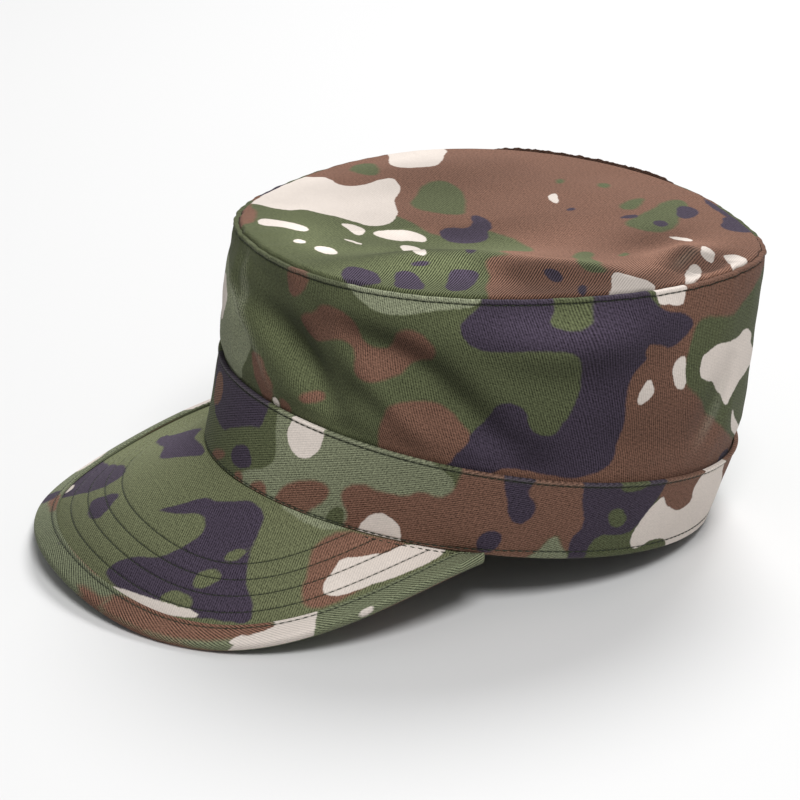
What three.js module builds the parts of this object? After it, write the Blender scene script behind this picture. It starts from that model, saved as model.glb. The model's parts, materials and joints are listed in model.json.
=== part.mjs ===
// A soft military cap, resting on a flat surface on the front corners of its visor and the back of its band.
// Millimetres, +Z up. The visor points to -Y, and the wearer's left side is +X.
// The pieces are shaped with the crown upright and its hem level at height 0. Then the whole cap is leaned back.
import * as THREE from "three";
import { mergeVertices } from "three/addons/utils/BufferGeometryUtils.js";

const DEGREE = Math.PI / 180;

// Cloth, and the gap left between pieces that touch
const CLOTH = 1.2;
const GAP = 0.3;

// Points of a mesh closer than this are one point
const SAME_POINT = 1e-6;
const MERGE_DISTANCE = 1e-4;

// The crown's three levels. The rim is rounder on the wearer's left, and its front is lower than its back.
const HEM = { halfLength: 98, halfWidth: 87, shiftBack: 0, leftPower: 2, rightPower: 2, height: 0, frontRise: 0 };
const SEAM = {
  halfLength: 98.7,
  halfWidth: 96,
  shiftBack: 2.2,
  leftPower: 2,
  rightPower: 2,
  height: 31.3,
  frontRise: 0.9,
};
const RIM = {
  halfLength: 95.3,
  halfWidth: 88.2,
  shiftBack: -5.2,
  leftPower: 2.3,
  rightPower: 1.8,
  height: 96.9,
  frontRise: -11.6,
};
const CROWN_STATIONS = 60;

// Side wall: a welt at the rim, and a lower edge tucked behind the band
const WALL_FULLNESS = 1.2;
const WELT_HEIGHT = 2.6;
const WELT_PROUD = 0.6;
const WELT_THICKNESS = 1.9;
const WELT_GROOVE = 0.8;
const WELT_ROUND = 0.7;
const WELT_ROUND_INSIDE = 0.3;
const WALL_TUCK = 6;
const WALL_ROWS = [0.14, 0.32, 0.5, 0.68, 0.85];

// Shares of the wall's height: where it leaves the band, its step out over the band, and where its folds fade
const WALL_STEP_START = 0.03;
const WALL_STEP_RUN = 0.14;
const FOLD_FADE_AT_BAND = 0.17;
const FOLD_FADE_AT_RIM = 0.125;

// The wall unrolled flat
const WALL_RADIUS = 95;
const WALL_HEIGHT = 66;

// Folds of the wall, unrolled flat: around from the front's middle towards the left, up from the seam.
const WALL_FOLDS = [
  { name: "long valley", around: 41, up: 40, long: 42, wide: 12, turn: -31, out: -3.6 },
  { name: "swell under the valley", around: 62, up: 12, long: 26, wide: 13, turn: -20, out: 1.6 },
  { name: "swell over the valley", around: 86, up: 44, long: 34, wide: 16, turn: -12, out: 2.2 },
  { name: "front swell", around: -4, up: 34, long: 26, wide: 14, turn: 78, out: 1.4 },
  { name: "hollow over the band", around: 150, up: 8, long: 34, wide: 12, turn: 6, out: -1.6 },
  { name: "back swell", around: 196, up: 36, long: 26, wide: 18, turn: 60, out: 1.4 },
  { name: "right valley", around: -92, up: 32, long: 34, wide: 12, turn: 35, out: -2.4 },
  { name: "right swell", around: -150, up: 38, long: 30, wide: 16, turn: -40, out: 1.5 },
  { name: "back hollow", around: -226, up: 22, long: 26, wide: 12, turn: 20, out: -1.8 },
];

// Top panel: a flange turned down inside the wall, a rolled shoulder, and a dented dome
const FLANGE_DEPTH = 8;
const FLANGE_TOP_DEPTH = 0.3;
const SHOULDER_INSET = 1.6;
const SHOULDER_RISE = 1.1;
const TOP_RINGS = [0.93, 0.84, 0.73, 0.6, 0.46, 0.31, 0.15];
const TOP_FOLD_HOLD = 6;

// Swells and hollows of the top, placed across it from the crown's axis
const TOP_FOLDS = [
  { name: "fold inside the left rim", x: 47, y: -46, long: 36, wide: 13, turn: 88, out: 4.4 },
  { name: "fold inside the back left rim", x: 66, y: 8, long: 26, wide: 11, turn: 62, out: 2.6 },
  { name: "hollow behind the folds", x: 16, y: -22, long: 46, wide: 19, turn: 72, out: -4.2 },
  { name: "pucker at the back left", x: 58, y: 48, long: 18, wide: 8, turn: 120, out: 2.4 },
  { name: "dip beside the pucker", x: 40, y: 42, long: 20, wide: 9, turn: 112, out: -2.2 },
  { name: "dome along the right side", x: -58, y: -14, long: 48, wide: 22, turn: 96, out: 4.6 },
  { name: "dome at the back", x: -10, y: 44, long: 40, wide: 30, turn: 10, out: 2.6 },
];

// Band: lapped over the wall, with a welt along its top and a stitched hem
const BAND_THICKNESS = 1.3;
const BAND_LAP = 1;
const BAND_LAP_PROUD = 0.3;
const BAND_WELT = 0.5;
const BAND_WELT_HEIGHT = 2.2;
const BAND_WELT_RISE = 1;
const BAND_ROWS = [0, 0.2, 0.6];

// Visor: a stiff sheet ruled from the hem to its outer edge, with a flange inside the band
const VISOR_HALF_ANGLE = 77.2 * DEGREE;
const VISOR_REACH = 59;
const VISOR_SQUARENESS = 1.71;
const VISOR_FLARE = 0.35;
const VISOR_FRONT_DROP = 39;
const VISOR_CORNER_DROP = 98.5;
const VISOR_DROP_POWER = 1.91;
const VISOR_ROOT_THICKNESS = 2.6;
const VISOR_EDGE_THICKNESS = 1.6;
const VISOR_FLANGE_HEIGHT = 8;
const VISOR_FLANGE_THICKNESS = 1.6;
const VISOR_STATIONS = 33;
const VISOR_STEPS = [0.7, 0.35, 0];
const VISOR_SHORTEST = 6;
const VISOR_SEARCH_STEP = 0.1 * DEGREE;

// Binding: a strip of cloth folded round the visor's edge
const BINDING_WIDTH = 9.6;
const BINDING_THICKNESS = 1;
const BINDING_MARGIN = 1.5;

// How far the cap leans back at rest
const REST_LEAN = 10.3 * DEGREE;

// A point of an oval level, at an angle from the front's middle towards the wearer's left
function onOval(level, angle) {
  const power = Math.sin(angle) > 0 ? level.leftPower : level.rightPower;
  const swing = (value) => Math.sign(value) * Math.abs(value) ** (2 / power);
  const x = level.halfWidth * swing(Math.sin(angle));
  const y = level.shiftBack - level.halfLength * swing(Math.cos(angle));
  return new THREE.Vector3(x, y, heightOf(level, y));
}

function heightOf(level, y) {
  return level.height - (level.frontRise * (y - level.shiftBack)) / level.halfLength;
}

// The level direction square to an oval, pointing out
function outwards(level, angle) {
  const step = 0.5 * DEGREE;
  const along = onOval(level, angle + step).sub(onOval(level, angle - step));
  return new THREE.Vector3(along.y, -along.x, 0).normalize();
}

// How far a sheet stands out at a point, from a table of swells and hollows
function foldSum(folds, acrossOf) {
  let sum = 0;
  for (const fold of folds) {
    const [across, up] = acrossOf(fold);
    const cos = Math.cos(fold.turn * DEGREE);
    const sin = Math.sin(fold.turn * DEGREE);
    const along = (across * cos + up * sin) / fold.long;
    const beside = (up * cos - across * sin) / fold.wide;
    sum += fold.out * Math.exp(-along * along - beside * beside);
  }
  return sum;
}

// The wall's outer face without its welt: share 0 is the seam and share 1 the rim. Under 0 it follows the band.
function wallPoint(angle, share, inset) {
  const behindBand = BAND_THICKNESS + GAP;
  if (share < 0) {
    return bandPoint(angle, 1 + (share * wallHeight(angle)) / SEAM.height, behindBand + inset);
  }
  const point = onOval(SEAM, angle).lerp(onOval(RIM, angle), share);
  const loop = 2 * Math.PI * WALL_RADIUS;
  const folds = foldSum(WALL_FOLDS, (fold) => {
    const across = angle * WALL_RADIUS - fold.around;
    return [across - loop * Math.round(across / loop), share * WALL_HEIGHT - fold.up];
  });
  const clear = Math.max(0, share - WALL_STEP_START);
  const hold = Math.min(1, clear / FOLD_FADE_AT_BAND, (1 - share) / FOLD_FADE_AT_RIM);
  const full = WALL_FULLNESS * Math.sin(Math.PI * share);
  const tuck = behindBand * Math.max(0, 1 - clear / WALL_STEP_RUN);
  const out = full + folds * hold - tuck - inset;
  return point.addScaledVector(outwards(SEAM, angle), out);
}

function wallHeight(angle) {
  return onOval(RIM, angle).z - onOval(SEAM, angle).z;
}

function bandPoint(angle, share, inset) {
  const point = onOval(HEM, angle).lerp(onOval(SEAM, angle), share);
  return point.addScaledVector(outwards(HEM, angle), -inset);
}

// A closed shell between an outer and an inner skin. A skin is a list of stations, each a path of points.
// Stations run counterclockwise seen from above, and paths run up the outside.
function shell(outer, inner, goesRound) {
  const corners = [];
  const triangle = (a, b, c) => {
    if (Math.min(a.distanceTo(b), b.distanceTo(c), c.distanceTo(a)) > SAME_POINT) {
      corners.push(a, b, c);
    }
  };
  // Split along the shorter diagonal, so that facing skins of two pieces split alike
  const quad = (a, b, c, d) => {
    if (a.distanceTo(c) < b.distanceTo(d)) {
      triangle(a, b, c);
      triangle(a, c, d);
    } else {
      triangle(a, b, d);
      triangle(b, c, d);
    }
  };
  const end = outer[0].length - 1;
  const spans = goesRound ? outer.length : outer.length - 1;
  for (let here = 0; here < spans; here++) {
    const next = (here + 1) % outer.length;
    for (let k = 0; k < end; k++) {
      quad(outer[here][k], outer[next][k], outer[next][k + 1], outer[here][k + 1]);
      quad(inner[next][k + 1], inner[next][k], inner[here][k], inner[here][k + 1]);
    }
    quad(inner[here][0], inner[next][0], outer[next][0], outer[here][0]);
    quad(outer[here][end], outer[next][end], inner[next][end], inner[here][end]);
  }
  if (!goesRound) {
    const last = outer.length - 1;
    for (let k = 0; k < end; k++) {
      quad(outer[0][k], outer[0][k + 1], inner[0][k + 1], inner[0][k]);
      quad(inner[last][k], inner[last][k + 1], outer[last][k + 1], outer[last][k]);
    }
  }
  const geometry = new THREE.BufferGeometry().setFromPoints(corners);
  const merged = mergeVertices(geometry, MERGE_DISTANCE);
  merged.computeVertexNormals();
  return merged;
}

function crownAngles() {
  return Array.from({ length: CROWN_STATIONS }, (_, n) => (n * 2 * Math.PI) / CROWN_STATIONS);
}

// Columns of the wall's section: share of its height, or a depth under the rim, and insets of its two faces
function wallSection(angle) {
  const height = wallHeight(angle);
  const under = (depth) => 1 - depth / height;
  return [
    { share: -WALL_TUCK / height, outer: 0, inner: CLOTH },
    { share: 0, outer: GAP / 2, inner: CLOTH },
    { share: WALL_STEP_START, outer: GAP / 2, inner: CLOTH },
    ...WALL_ROWS.map((share) => ({ share, outer: 0, inner: CLOTH })),
    { share: under(WELT_HEIGHT + WELT_GROOVE), outer: 0, inner: CLOTH },
    { share: under(WELT_HEIGHT), outer: -WELT_PROUD, inner: WELT_THICKNESS },
    { share: under(WELT_ROUND), outer: -WELT_PROUD, inner: WELT_THICKNESS },
    { share: 1, outer: 0, inner: WELT_THICKNESS - WELT_ROUND_INSIDE },
  ];
}

function sideWall() {
  const skin = (side) =>
    crownAngles().map((angle) => wallSection(angle).map((row) => wallPoint(angle, row.share, row[side])));
  return shell(skin("outer"), skin("inner"), true);
}

// A point of the top's sheet: reach 0 is the middle and reach 1 the inside of the wall's welt
function topPoint(angle, reach, drop) {
  const edge = wallPoint(angle, 1, WELT_THICKNESS + GAP + SHOULDER_INSET);
  const x = edge.x * reach;
  const y = RIM.shiftBack + (edge.y - RIM.shiftBack) * reach;
  const folds = foldSum(TOP_FOLDS, (fold) => [x - fold.x, y - fold.y]);
  const hold = 1 - reach ** TOP_FOLD_HOLD;
  return new THREE.Vector3(x, y, heightOf(RIM, y) + SHOULDER_RISE + folds * hold - drop);
}

function topPanel() {
  const inset = WELT_THICKNESS + GAP;
  const depths = [FLANGE_DEPTH, FLANGE_DEPTH / 2, FLANGE_TOP_DEPTH];
  const skin = (sideways, drop) =>
    crownAngles().map((angle) => [
      ...depths.map((depth) => wallPoint(angle, 1 - depth / wallHeight(angle), inset + sideways)),
      topPoint(angle, 1, drop),
      ...TOP_RINGS.map((reach) => topPoint(angle, reach, drop)),
      topPoint(0, 0, drop),
    ]);
  const outer = skin(0, 0);
  const inner = skin(CLOTH, CLOTH);
  for (const station of inner) {
    station[depths.length - 1].z -= CLOTH;
  }
  return shell(outer, inner, true);
}

function band() {
  const weltStart = 1 - BAND_WELT_HEIGHT / SEAM.height;
  const rows = [
    ...BAND_ROWS.map((share) => ({ share, outer: 0, inner: BAND_THICKNESS })),
    { share: weltStart, outer: 0, inner: BAND_THICKNESS },
    { share: weltStart + BAND_WELT_RISE / SEAM.height, outer: -BAND_WELT, inner: BAND_THICKNESS },
    { share: 1 + BAND_LAP / SEAM.height, outer: -BAND_LAP_PROUD, inner: BAND_THICKNESS },
  ];
  const skin = (side) =>
    crownAngles().map((angle) => rows.map((row) => bandPoint(angle, row.share, row[side])));
  return shell(skin("outer"), skin("inner"), true);
}

// The visor's outer edge. The turn runs from -90 degrees at its right end, through 0 at the front, to 90.
function visorEdge(turn) {
  const sin = Math.sin(turn);
  const cos = Math.max(Math.cos(turn), 0);
  const halfRoot = HEM.halfWidth * Math.sin(VISOR_HALF_ANGLE);
  const rootBack = -HEM.halfLength * Math.cos(VISOR_HALF_ANGLE);
  const reach = HEM.halfLength * (1 - Math.cos(VISOR_HALF_ANGLE)) + VISOR_REACH;
  const power = 2 / VISOR_SQUARENESS;
  const drop = VISOR_FRONT_DROP * cos * cos + VISOR_CORNER_DROP * sin * sin;
  return new THREE.Vector3(
    halfRoot * (Math.sign(sin) * Math.abs(sin) ** power + VISOR_FLARE * Math.sin(2 * turn)),
    rootBack - reach * cos ** power,
    -drop * cos ** VISOR_DROP_POWER,
  );
}

// One ruling of the visor: where it leaves the hem, its length and direction, and the way square to its sheet
function visorRuling(turn) {
  const angleAt = (value) => (VISOR_HALF_ANGLE * value) / (Math.PI / 2);
  const root = onOval(HEM, angleAt(turn)).setZ(-GAP);
  const line = visorEdge(turn).sub(root);
  const middle = (value) => onOval(HEM, angleAt(value)).add(visorEdge(value)).multiplyScalar(0.5);
  const along = middle(turn + DEGREE).sub(middle(turn - DEGREE));
  const direction = line.clone().normalize();
  const up = direction.clone().cross(along).normalize();
  return { angle: angleAt(turn), root, length: line.length(), direction, up };
}

// The rulings that are long enough to build, from right to left
function visorRulings() {
  let last = Math.PI / 2;
  while (visorRuling(last).length < VISOR_SHORTEST) {
    last -= VISOR_SEARCH_STEP;
  }
  return Array.from({ length: VISOR_STATIONS }, (_, n) => {
    return visorRuling(last * ((2 * n) / (VISOR_STATIONS - 1) - 1));
  });
}

// Heights of the visor's two faces over its ruling, at a distance from the hem
function visorFaces(ruling, distance) {
  const share = Math.min(1, distance / (ruling.length - BINDING_THICKNESS - GAP));
  const upper = (VISOR_EDGE_THICKNESS / 2) * share;
  return { upper, lower: upper - THREE.MathUtils.lerp(VISOR_ROOT_THICKNESS, VISOR_EDGE_THICKNESS, share) };
}

// Distances from the hem of the board's edge, the binding's middle and the binding's inner edge
function bindingReach(ruling) {
  const edge = ruling.length - BINDING_THICKNESS - GAP;
  const inside = Math.max(BINDING_MARGIN, ruling.length - BINDING_WIDTH);
  return { edge, middle: (edge + inside) / 2, inside };
}

function onRuling(ruling, distance, height) {
  return ruling.root
    .clone()
    .addScaledVector(ruling.direction, distance)
    .addScaledVector(ruling.up, height);
}

function visor() {
  const outer = [];
  const inner = [];
  for (const ruling of visorRulings()) {
    const { edge, middle, inside } = bindingReach(ruling);
    const distances = [edge, middle, inside, ...VISOR_STEPS.map((share) => inside * share)];
    const top = distances.map((distance) => onRuling(ruling, distance, visorFaces(ruling, distance).upper));
    const bottom = distances.map((distance) => onRuling(ruling, distance, visorFaces(ruling, distance).lower));
    const flange = (height, depth) =>
      bandPoint(ruling.angle, height / SEAM.height, BAND_THICKNESS + GAP + depth);
    top.push(flange(-GAP, 0), flange(VISOR_FLANGE_HEIGHT, 0));
    bottom.push(flange(-VISOR_ROOT_THICKNESS, VISOR_FLANGE_THICKNESS));
    bottom.push(flange(VISOR_FLANGE_HEIGHT, VISOR_FLANGE_THICKNESS));
    outer.push(top);
    inner.push(bottom);
  }
  return shell(outer, inner, false);
}

function visorBinding() {
  const outer = [];
  const inner = [];
  for (const ruling of visorRulings()) {
    const reach = ruling.length;
    const { edge, middle, inside } = bindingReach(ruling);
    const legs = [inside, middle, edge];
    const under = (away) =>
      legs.map((distance) => onRuling(ruling, distance, visorFaces(ruling, distance).lower - away));
    const over = (away) =>
      legs.map((distance) => onRuling(ruling, distance, visorFaces(ruling, distance).upper + away)).reverse();
    const round = VISOR_EDGE_THICKNESS / 2;
    outer.push([
      ...under(GAP + BINDING_THICKNESS),
      onRuling(ruling, reach, -round),
      onRuling(ruling, reach, round),
      ...over(GAP + BINDING_THICKNESS),
    ]);
    inner.push([
      ...under(GAP),
      onRuling(ruling, reach - BINDING_THICKNESS, -round),
      onRuling(ruling, reach - BINDING_THICKNESS, round),
      ...over(GAP),
    ]);
  }
  return shell(outer, inner, false);
}

function cloth(color) {
  return new THREE.MeshStandardMaterial({ color, roughness: 0.9, metalness: 0 });
}

const PIECES = [
  { name: "top_panel", shape: topPanel(), material: cloth(0x6b4a3c) },
  { name: "side_wall", shape: sideWall(), material: cloth(0x46542f) },
  { name: "band", shape: band(), material: cloth(0x5f4638) },
  { name: "visor", shape: visor(), material: cloth(0x4e5a36) },
  { name: "visor_binding", shape: visorBinding(), material: cloth(0x6d7a55) },
];

const cap = new THREE.Group();
cap.name = "military_cap";
for (const piece of PIECES) {
  const mesh = new THREE.Mesh(piece.shape, piece.material);
  mesh.name = piece.name;
  cap.add(mesh);
}

// Lean the cap back about its side-to-side axis, then stand its lowest point on height 0, centred
cap.rotation.x = -REST_LEAN;
const box = new THREE.Box3().setFromObject(cap, true);
const middle = box.getCenter(new THREE.Vector3());
cap.position.set(-middle.x, -middle.y, -box.min.z);

export default cap;
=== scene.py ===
"""A soft military cap in camouflage twill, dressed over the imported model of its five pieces.

The tables and the shape functions are in millimetres, with the crown upright, its hem level at height 0,
the visor towards -Y and the wearer's left towards +X. The meshes are in metres, leaned back as the cap rests.
Cloth places on the wall and the band are (around, up): around runs from the middle of the front towards the
wearer's left, and up from the lower edge. Cloth places on the top and the visor are the plan's (x, y).
"""
import json
import math

import bpy
import numpy as np
from bpy.props import FloatProperty, FloatVectorProperty, PointerProperty
from bpy.types import Operator, Panel, PropertyGroup
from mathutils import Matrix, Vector


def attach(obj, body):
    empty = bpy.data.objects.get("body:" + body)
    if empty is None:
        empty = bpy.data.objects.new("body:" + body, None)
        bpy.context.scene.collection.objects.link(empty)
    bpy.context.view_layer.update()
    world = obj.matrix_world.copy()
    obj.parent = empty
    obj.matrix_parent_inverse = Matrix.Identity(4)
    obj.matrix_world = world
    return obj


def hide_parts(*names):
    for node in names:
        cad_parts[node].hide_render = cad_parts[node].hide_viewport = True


bl_info = {
    "name": "Military cap",
    "version": (1, 0, 0),
    "blender": (4, 5, 0),
    "location": "3D View > Sidebar > Cap",
    "description": "Dresses the packed model of a soft military cap in camouflage cloth",
    "category": "Add Mesh",
}

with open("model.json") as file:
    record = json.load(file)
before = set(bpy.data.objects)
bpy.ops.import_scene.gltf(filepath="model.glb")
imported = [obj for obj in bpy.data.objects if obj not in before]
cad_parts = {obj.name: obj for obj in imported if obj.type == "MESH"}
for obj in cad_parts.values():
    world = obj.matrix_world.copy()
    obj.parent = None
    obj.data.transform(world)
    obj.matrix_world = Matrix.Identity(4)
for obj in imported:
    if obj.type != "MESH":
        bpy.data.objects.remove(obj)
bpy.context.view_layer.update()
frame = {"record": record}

MM = 0.001
DEGREE = math.pi / 180
GAP = 0.3
CLOTH = 1.2

# How the cap rests: the hem's mount gives the lean and the place
HEM_MOUNT = next(mount for mount in frame["record"]["mounts"] if mount["name"] == "hem_back")
LEAN = math.atan2(-HEM_MOUNT["axis"][1], -HEM_MOUNT["axis"][2])

# The crown's three levels
HEM = {"long": 98, "wide": 87, "back": 0, "left": 2, "right": 2, "height": 0, "rise": 0}
SEAM = {"long": 98.7, "wide": 96, "back": 2.2, "left": 2, "right": 2, "height": 31.3, "rise": 0.9}
RIM = {"long": 95.3, "wide": 88.2, "back": -5.2, "left": 2.3, "right": 1.8, "height": 96.9, "rise": -11.6}
STATIONS = 480

# Where the worn rim strays from its oval: angle and half width in degrees, how far out and up
RIM_SWAYS = [
    (-46, 26, -0.6, -2.5),
    (-122, 34, 0.3, 2.4),
    (178, 20, -1.2, -1.0),
    (146, 14, 2.4, 0.2),
]

# Small unevenness: seed, wavelengths and size
RIM_RIPPLES = (6, (19, 12.5, 8.3), 0.16)
SEAM_RIPPLES = (7, (23, 14, 9), 0.2)
TOP_PUCKERS = (9, (21, 13, 7.7), 0.16)
FRAY_SWAY = (42, (9, 6, 4.1), 1)
WALL_CRUMPLE = (5, (46, 24, 13), 0.55)
TOP_CRUMPLE = (8, (44, 22, 12), 0.45)
BAND_CRUMPLE = (15, (38, 19), 0.22)

# How far from their seam the ripples reach, and how fast they start beside it
RIM_RIPPLES_REACH = 7
SEAM_RIPPLES_REACH = 8
TOP_PUCKERS_REACH = 9
TOP_RADIUS = 90
RIPPLES_START = 30

# Side wall
WALL_FULLNESS = 1.2
WALL_TUCK = 6
WALL_RADIUS = 95
WALL_HEIGHT = 66
WALL_LOOP = 2 * math.pi * WALL_RADIUS
STEP_START = 0.03
STEP_RUN = 0.14
FADE_AT_BAND = 0.17
FADE_AT_RIM = 0.125
WALL_MIDDLE_ROWS = 46
WELT_THICKNESS = 1.3
WELT_HEIGHT = 1.35
WELT_PROUD = 0.5
WELT_GROOVE = 0.35
RIM_STITCH_DEPTH = 1.75

# How quickly the folds die out towards the rim and the band
HOLD_POWER = 1.3

# Rows of the wall's mesh: heights over its seam, and depths under its rim, outside and inside
WALL_LOW_ROWS = (-WALL_TUCK, -3, -0.8, 0, 0.7, 1.4, 2.2)
WALL_MIDDLE_FROM = 3.2
WALL_MIDDLE_TO = 5.4
WALL_RIM_ROWS = (
    4.4, 3.5, 2.9, 2.5, 2.2, 2, 1.87, 1.75, 1.63, 1.5, 1.35, 1.2, 1, 0.75, 0.5, 0.3, 0.15, 0.05, 0
)
WALL_INNER_RIM_ROWS = (5, 3.4, 2.6, 1, 0.1)
WELT_INNER_DEPTH = 3

# Keeps the print from sliding far where the wall is seen edge-on
SLIDE_LIMIT = 0.06

# Swells and hollows of the wall: around, up, half length, half width, turn in degrees, how far out
WALL_FOLDS = [
    (41, 40, 42, 12, -31, -3.6),
    (62, 12, 26, 13, -20, 1.6),
    (86, 44, 34, 16, -12, 2.2),
    (-4, 34, 26, 14, 78, 1.4),
    (150, 8, 34, 12, 6, -1.6),
    (196, 36, 26, 18, 60, 1.4),
    (-92, 32, 34, 12, 35, -2.4),
    (-150, 38, 30, 16, -40, 1.5),
    (-226, 22, 26, 12, 20, -1.8),
]

# Long drapes between them: points along it, half width, how far out
WALL_DRAPES = [
    ([(9, 43), (23, 39), (37, 33), (48, 25), (57, 15), (65, 6)], 7.5, -6.0),
    ([(62, 36), (73, 29), (82, 22), (91, 13), (98, 4)], 6.5, 2.6),
    ([(54, 46), (66, 46), (79, 44), (91, 40), (102, 31), (111, 22), (121, 13), (132, 4)], 8, -6.0),
    ([(110, 54), (126, 52), (141, 51), (155, 51), (170, 54)], 9.5, 5.0),
    ([(186, 10), (200, 16), (212, 28), (216, 42)], 8, -1.6),
]

# Pinched creases of the wall: points along it, half width, how far out
WALL_CREASES = [
    ([(6.5, 66), (5, 54), (4.5, 46), (6, 38), (10, 32)], 1.3, 0.8),
    ([(-14, 52), (-4, 47), (3, 39), (10, 32), (17, 26), (25, 17), (32, 7)], 1.4, 0.9),
    ([(214, 32), (207, 20), (200, 12)], 2.4, 0.8),
    ([(-60, 60), (-70, 40), (-64, 20)], 2.6, 0.8),
    ([(-170, 8), (-186, 26), (-190, 44)], 3.0, 0.9),
]

# Top panel
FLANGE_DEPTH = 8
FLANGE_TOP_DEPTH = 0.3
SHOULDER_INSET = 1.6
SHOULDER_RISE = 1.1
TOP_RINGS = 62

# How close to the rim the top's folds and drapes reach: the higher, the closer
TOP_HOLD = 6
DRAPE_HOLD = 16

# Swells and hollows of the top: x, y, half length, half width, turn in degrees, how far up
TOP_FOLDS = [
    (47, -46, 36, 13, 88, 4.4),
    (66, 8, 26, 11, 62, 2.6),
    (16, -22, 46, 19, 72, -4.2),
    (58, 48, 18, 8, 120, 2.4),
    (40, 42, 20, 9, 112, -2.2),
    (-58, -14, 48, 22, 96, 4.6),
    (-10, 44, 40, 30, 10, 2.6),
]

# Long drapes between them: points along it, half width, how far up
TOP_DRAPES = [
    ([(45, -80), (48, -66), (52, -50), (56, -32), (63, -12), (70, 4), (78, 16)], 7.5, 2.9),
    ([(60, -40), (65, -24), (70, -10), (75, 4), (79, 13)], 7, 3.0),
    ([(72, 28), (62, 36), (53, 44), (48, 51)], 6, 3.4),
    ([(77, 40), (69, 50), (60, 59)], 6, -3.4),
    ([(24, -76), (30, -60), (32, -44), (34, -26)], 8, -1.6),
]

# Pinched creases of the top: points along it, half width, how far up
TOP_CREASES = [
    ([(70, 34), (60, 43), (52, 51)], 2.2, 0.9),
    ([(60, 62), (67, 56), (74, 48)], 2.0, -0.7),
]

# Band
BAND_THICKNESS = 1.3
BAND_LAP = 1
BAND_WELT = 0.45
BAND_WELT_HEIGHT = 1.15
BAND_STITCH_DROP = 1.5
HEM_STITCH_UP = 3.1
HEM_STITCH_AT_VISOR = 0.7
HEM_STITCH_RISES = (58, 90)
BAND_GROOVE = 0.25

# Rows of the band's mesh: heights over its hem, and depths under its top
BAND_LOW_ROWS = (0, 0.12, 0.3, 0.5, 0.7, 0.9, 1.1, 1.4, 1.7, 2, 2.3, 2.6, 2.85, 3.1, 3.35, 3.6, 4.1)
BAND_MIDDLE_FROM = 5.4
BAND_MIDDLE_TO = 4
BAND_MIDDLE_ROWS = 16
BAND_TOP_ROWS = (3, 2.4, 2, 1.75, 1.62, 1.5, 1.38, 1.25, 1.15, 1, 0.8, 0.55, 0.35, 0.15, 0.05, 0)

# Frayed seam edge that shows over the far rim: angles in degrees
FRAY_FROM = -158
FRAY_TO = -112
FRAY_HEIGHT = 1.7
FRAY_THICKNESS = 0.7
FRAY_STATIONS = 240
FRAY_SWAY_SIZE = 0.25
FRAY_INSET = 0.25
FRAY_ROOT = 0.4

# Visor
VISOR_HALF_ANGLE = 77.2 * DEGREE
VISOR_REACH = 59
VISOR_SQUARENESS = 1.71
VISOR_FLARE = 0.35
VISOR_FRONT_DROP = 39
VISOR_CORNER_DROP = 98.5
VISOR_DROP_POWER = 1.91
VISOR_ROOT_THICKNESS = 2.6
VISOR_EDGE_THICKNESS = 1.6
VISOR_FLANGE_HEIGHT = 8
VISOR_FLANGE_THICKNESS = 1.6
VISOR_STATIONS = 261
VISOR_SHORTEST = 3.4
VISOR_STITCH_ROWS = [15, 22, 29, 36]
VISOR_GROOVE = 0.4
ROOT_STITCH = 1.4
ROOT_STITCH_FROM = 50

# Rows of the visor's mesh: beside each stitch row, and at other distances from its edge
VISOR_ROWS_BESIDE = (-1.1, -0.55, -0.25, 0, 0.25, 0.55, 1.1)
VISOR_ROWS_BETWEEN = (11.8, 12.9, 17.6, 19.4, 24.6, 26.4, 31.6, 33.4, *np.arange(38.5, 70, 1.7))
VISOR_PUFF = 0.25
VISOR_PUFF_WIDTH = 2.0
VISOR_PUFF_STEP = 3.5

# Binding
BINDING_WIDTH = 9.6
BINDING_THICKNESS = 1
BINDING_MARGIN = 1.5
BINDING_STITCH = 7.9
BINDING_STITCH_LIMITS = (0.2, 0.85)
BINDING_DENT = 0.28

# Rows of the binding's mesh that take the underside's print
BINDING_UNDER_ROWS = 5

# Wear of the creases, with painted highlight along their ridges, and of the rims: how strong, how deep and
# how wide it is
WALL_CREASE_WEAR_AND_HIGHLIGHT = 0.75
TOP_CREASE_WEAR_AND_HIGHLIGHT = 0.5
RIM_WEAR = 0.35
RIM_WEAR_DEPTH = 1.0
RIM_WEAR_WIDTH = 0.9
BAND_WEAR = 0.3
BAND_WEAR_WIDTH = 0.9
HEM_WEAR = 0.25
HEM_WEAR_WIDTH = 0.8

# The rim is worn around this place: distances from it, and the share of the wear at each
RIM_WEAR_PLACE = 60
RIM_WEAR_SHARES = ((35, 60), (1, 0.1))

# How strongly the top's ribs and their painted shade show: across its near flank, bent by the lean, and along
# it
RIBS_ACROSS = ((40, 52), (0.3, 1.4))
RIBS_LEAN = 0.12
RIBS_MIDDLE = -20
RIBS_ALONG = ((14, 34), (1, 0.65))

# The most that painted light and shade may make the cloth paler or darker than even
PAINTED_LIGHT_LIMIT = 0.6

# Where along y the top's near flank turns from painted light to painted shade, and how strongly its slope
# counts there
FLANK_TURNS = (-42, -22)
FLANK_STRENGTHS = (-1.2, 1.8)

# The top's painted light and shade stop past this, where its cloth turns down
TOP_PAINTED_LIGHT_HALF_WIDTH = 88

# Painted light on the band over the visor's near corner: around, half width, how much paler
BAND_PAINTED_LIGHT = (42, 26, 0.3)

# Painted light and shade of the visor along y and across x, and of the binding by the distance from its nose
# along it
VISOR_PAINTED_LIGHT_ALONG = ((-146, -126, -106, -60), (-0.36, -0.1, 0.14, 0.2))
VISOR_PAINTED_LIGHT_ACROSS = ((-70, -10), (0.3, 0))
BINDING_NOSE = 215
BINDING_PAINTED_LIGHT = ((25, 75), (-0.36, 0.08))
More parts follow.
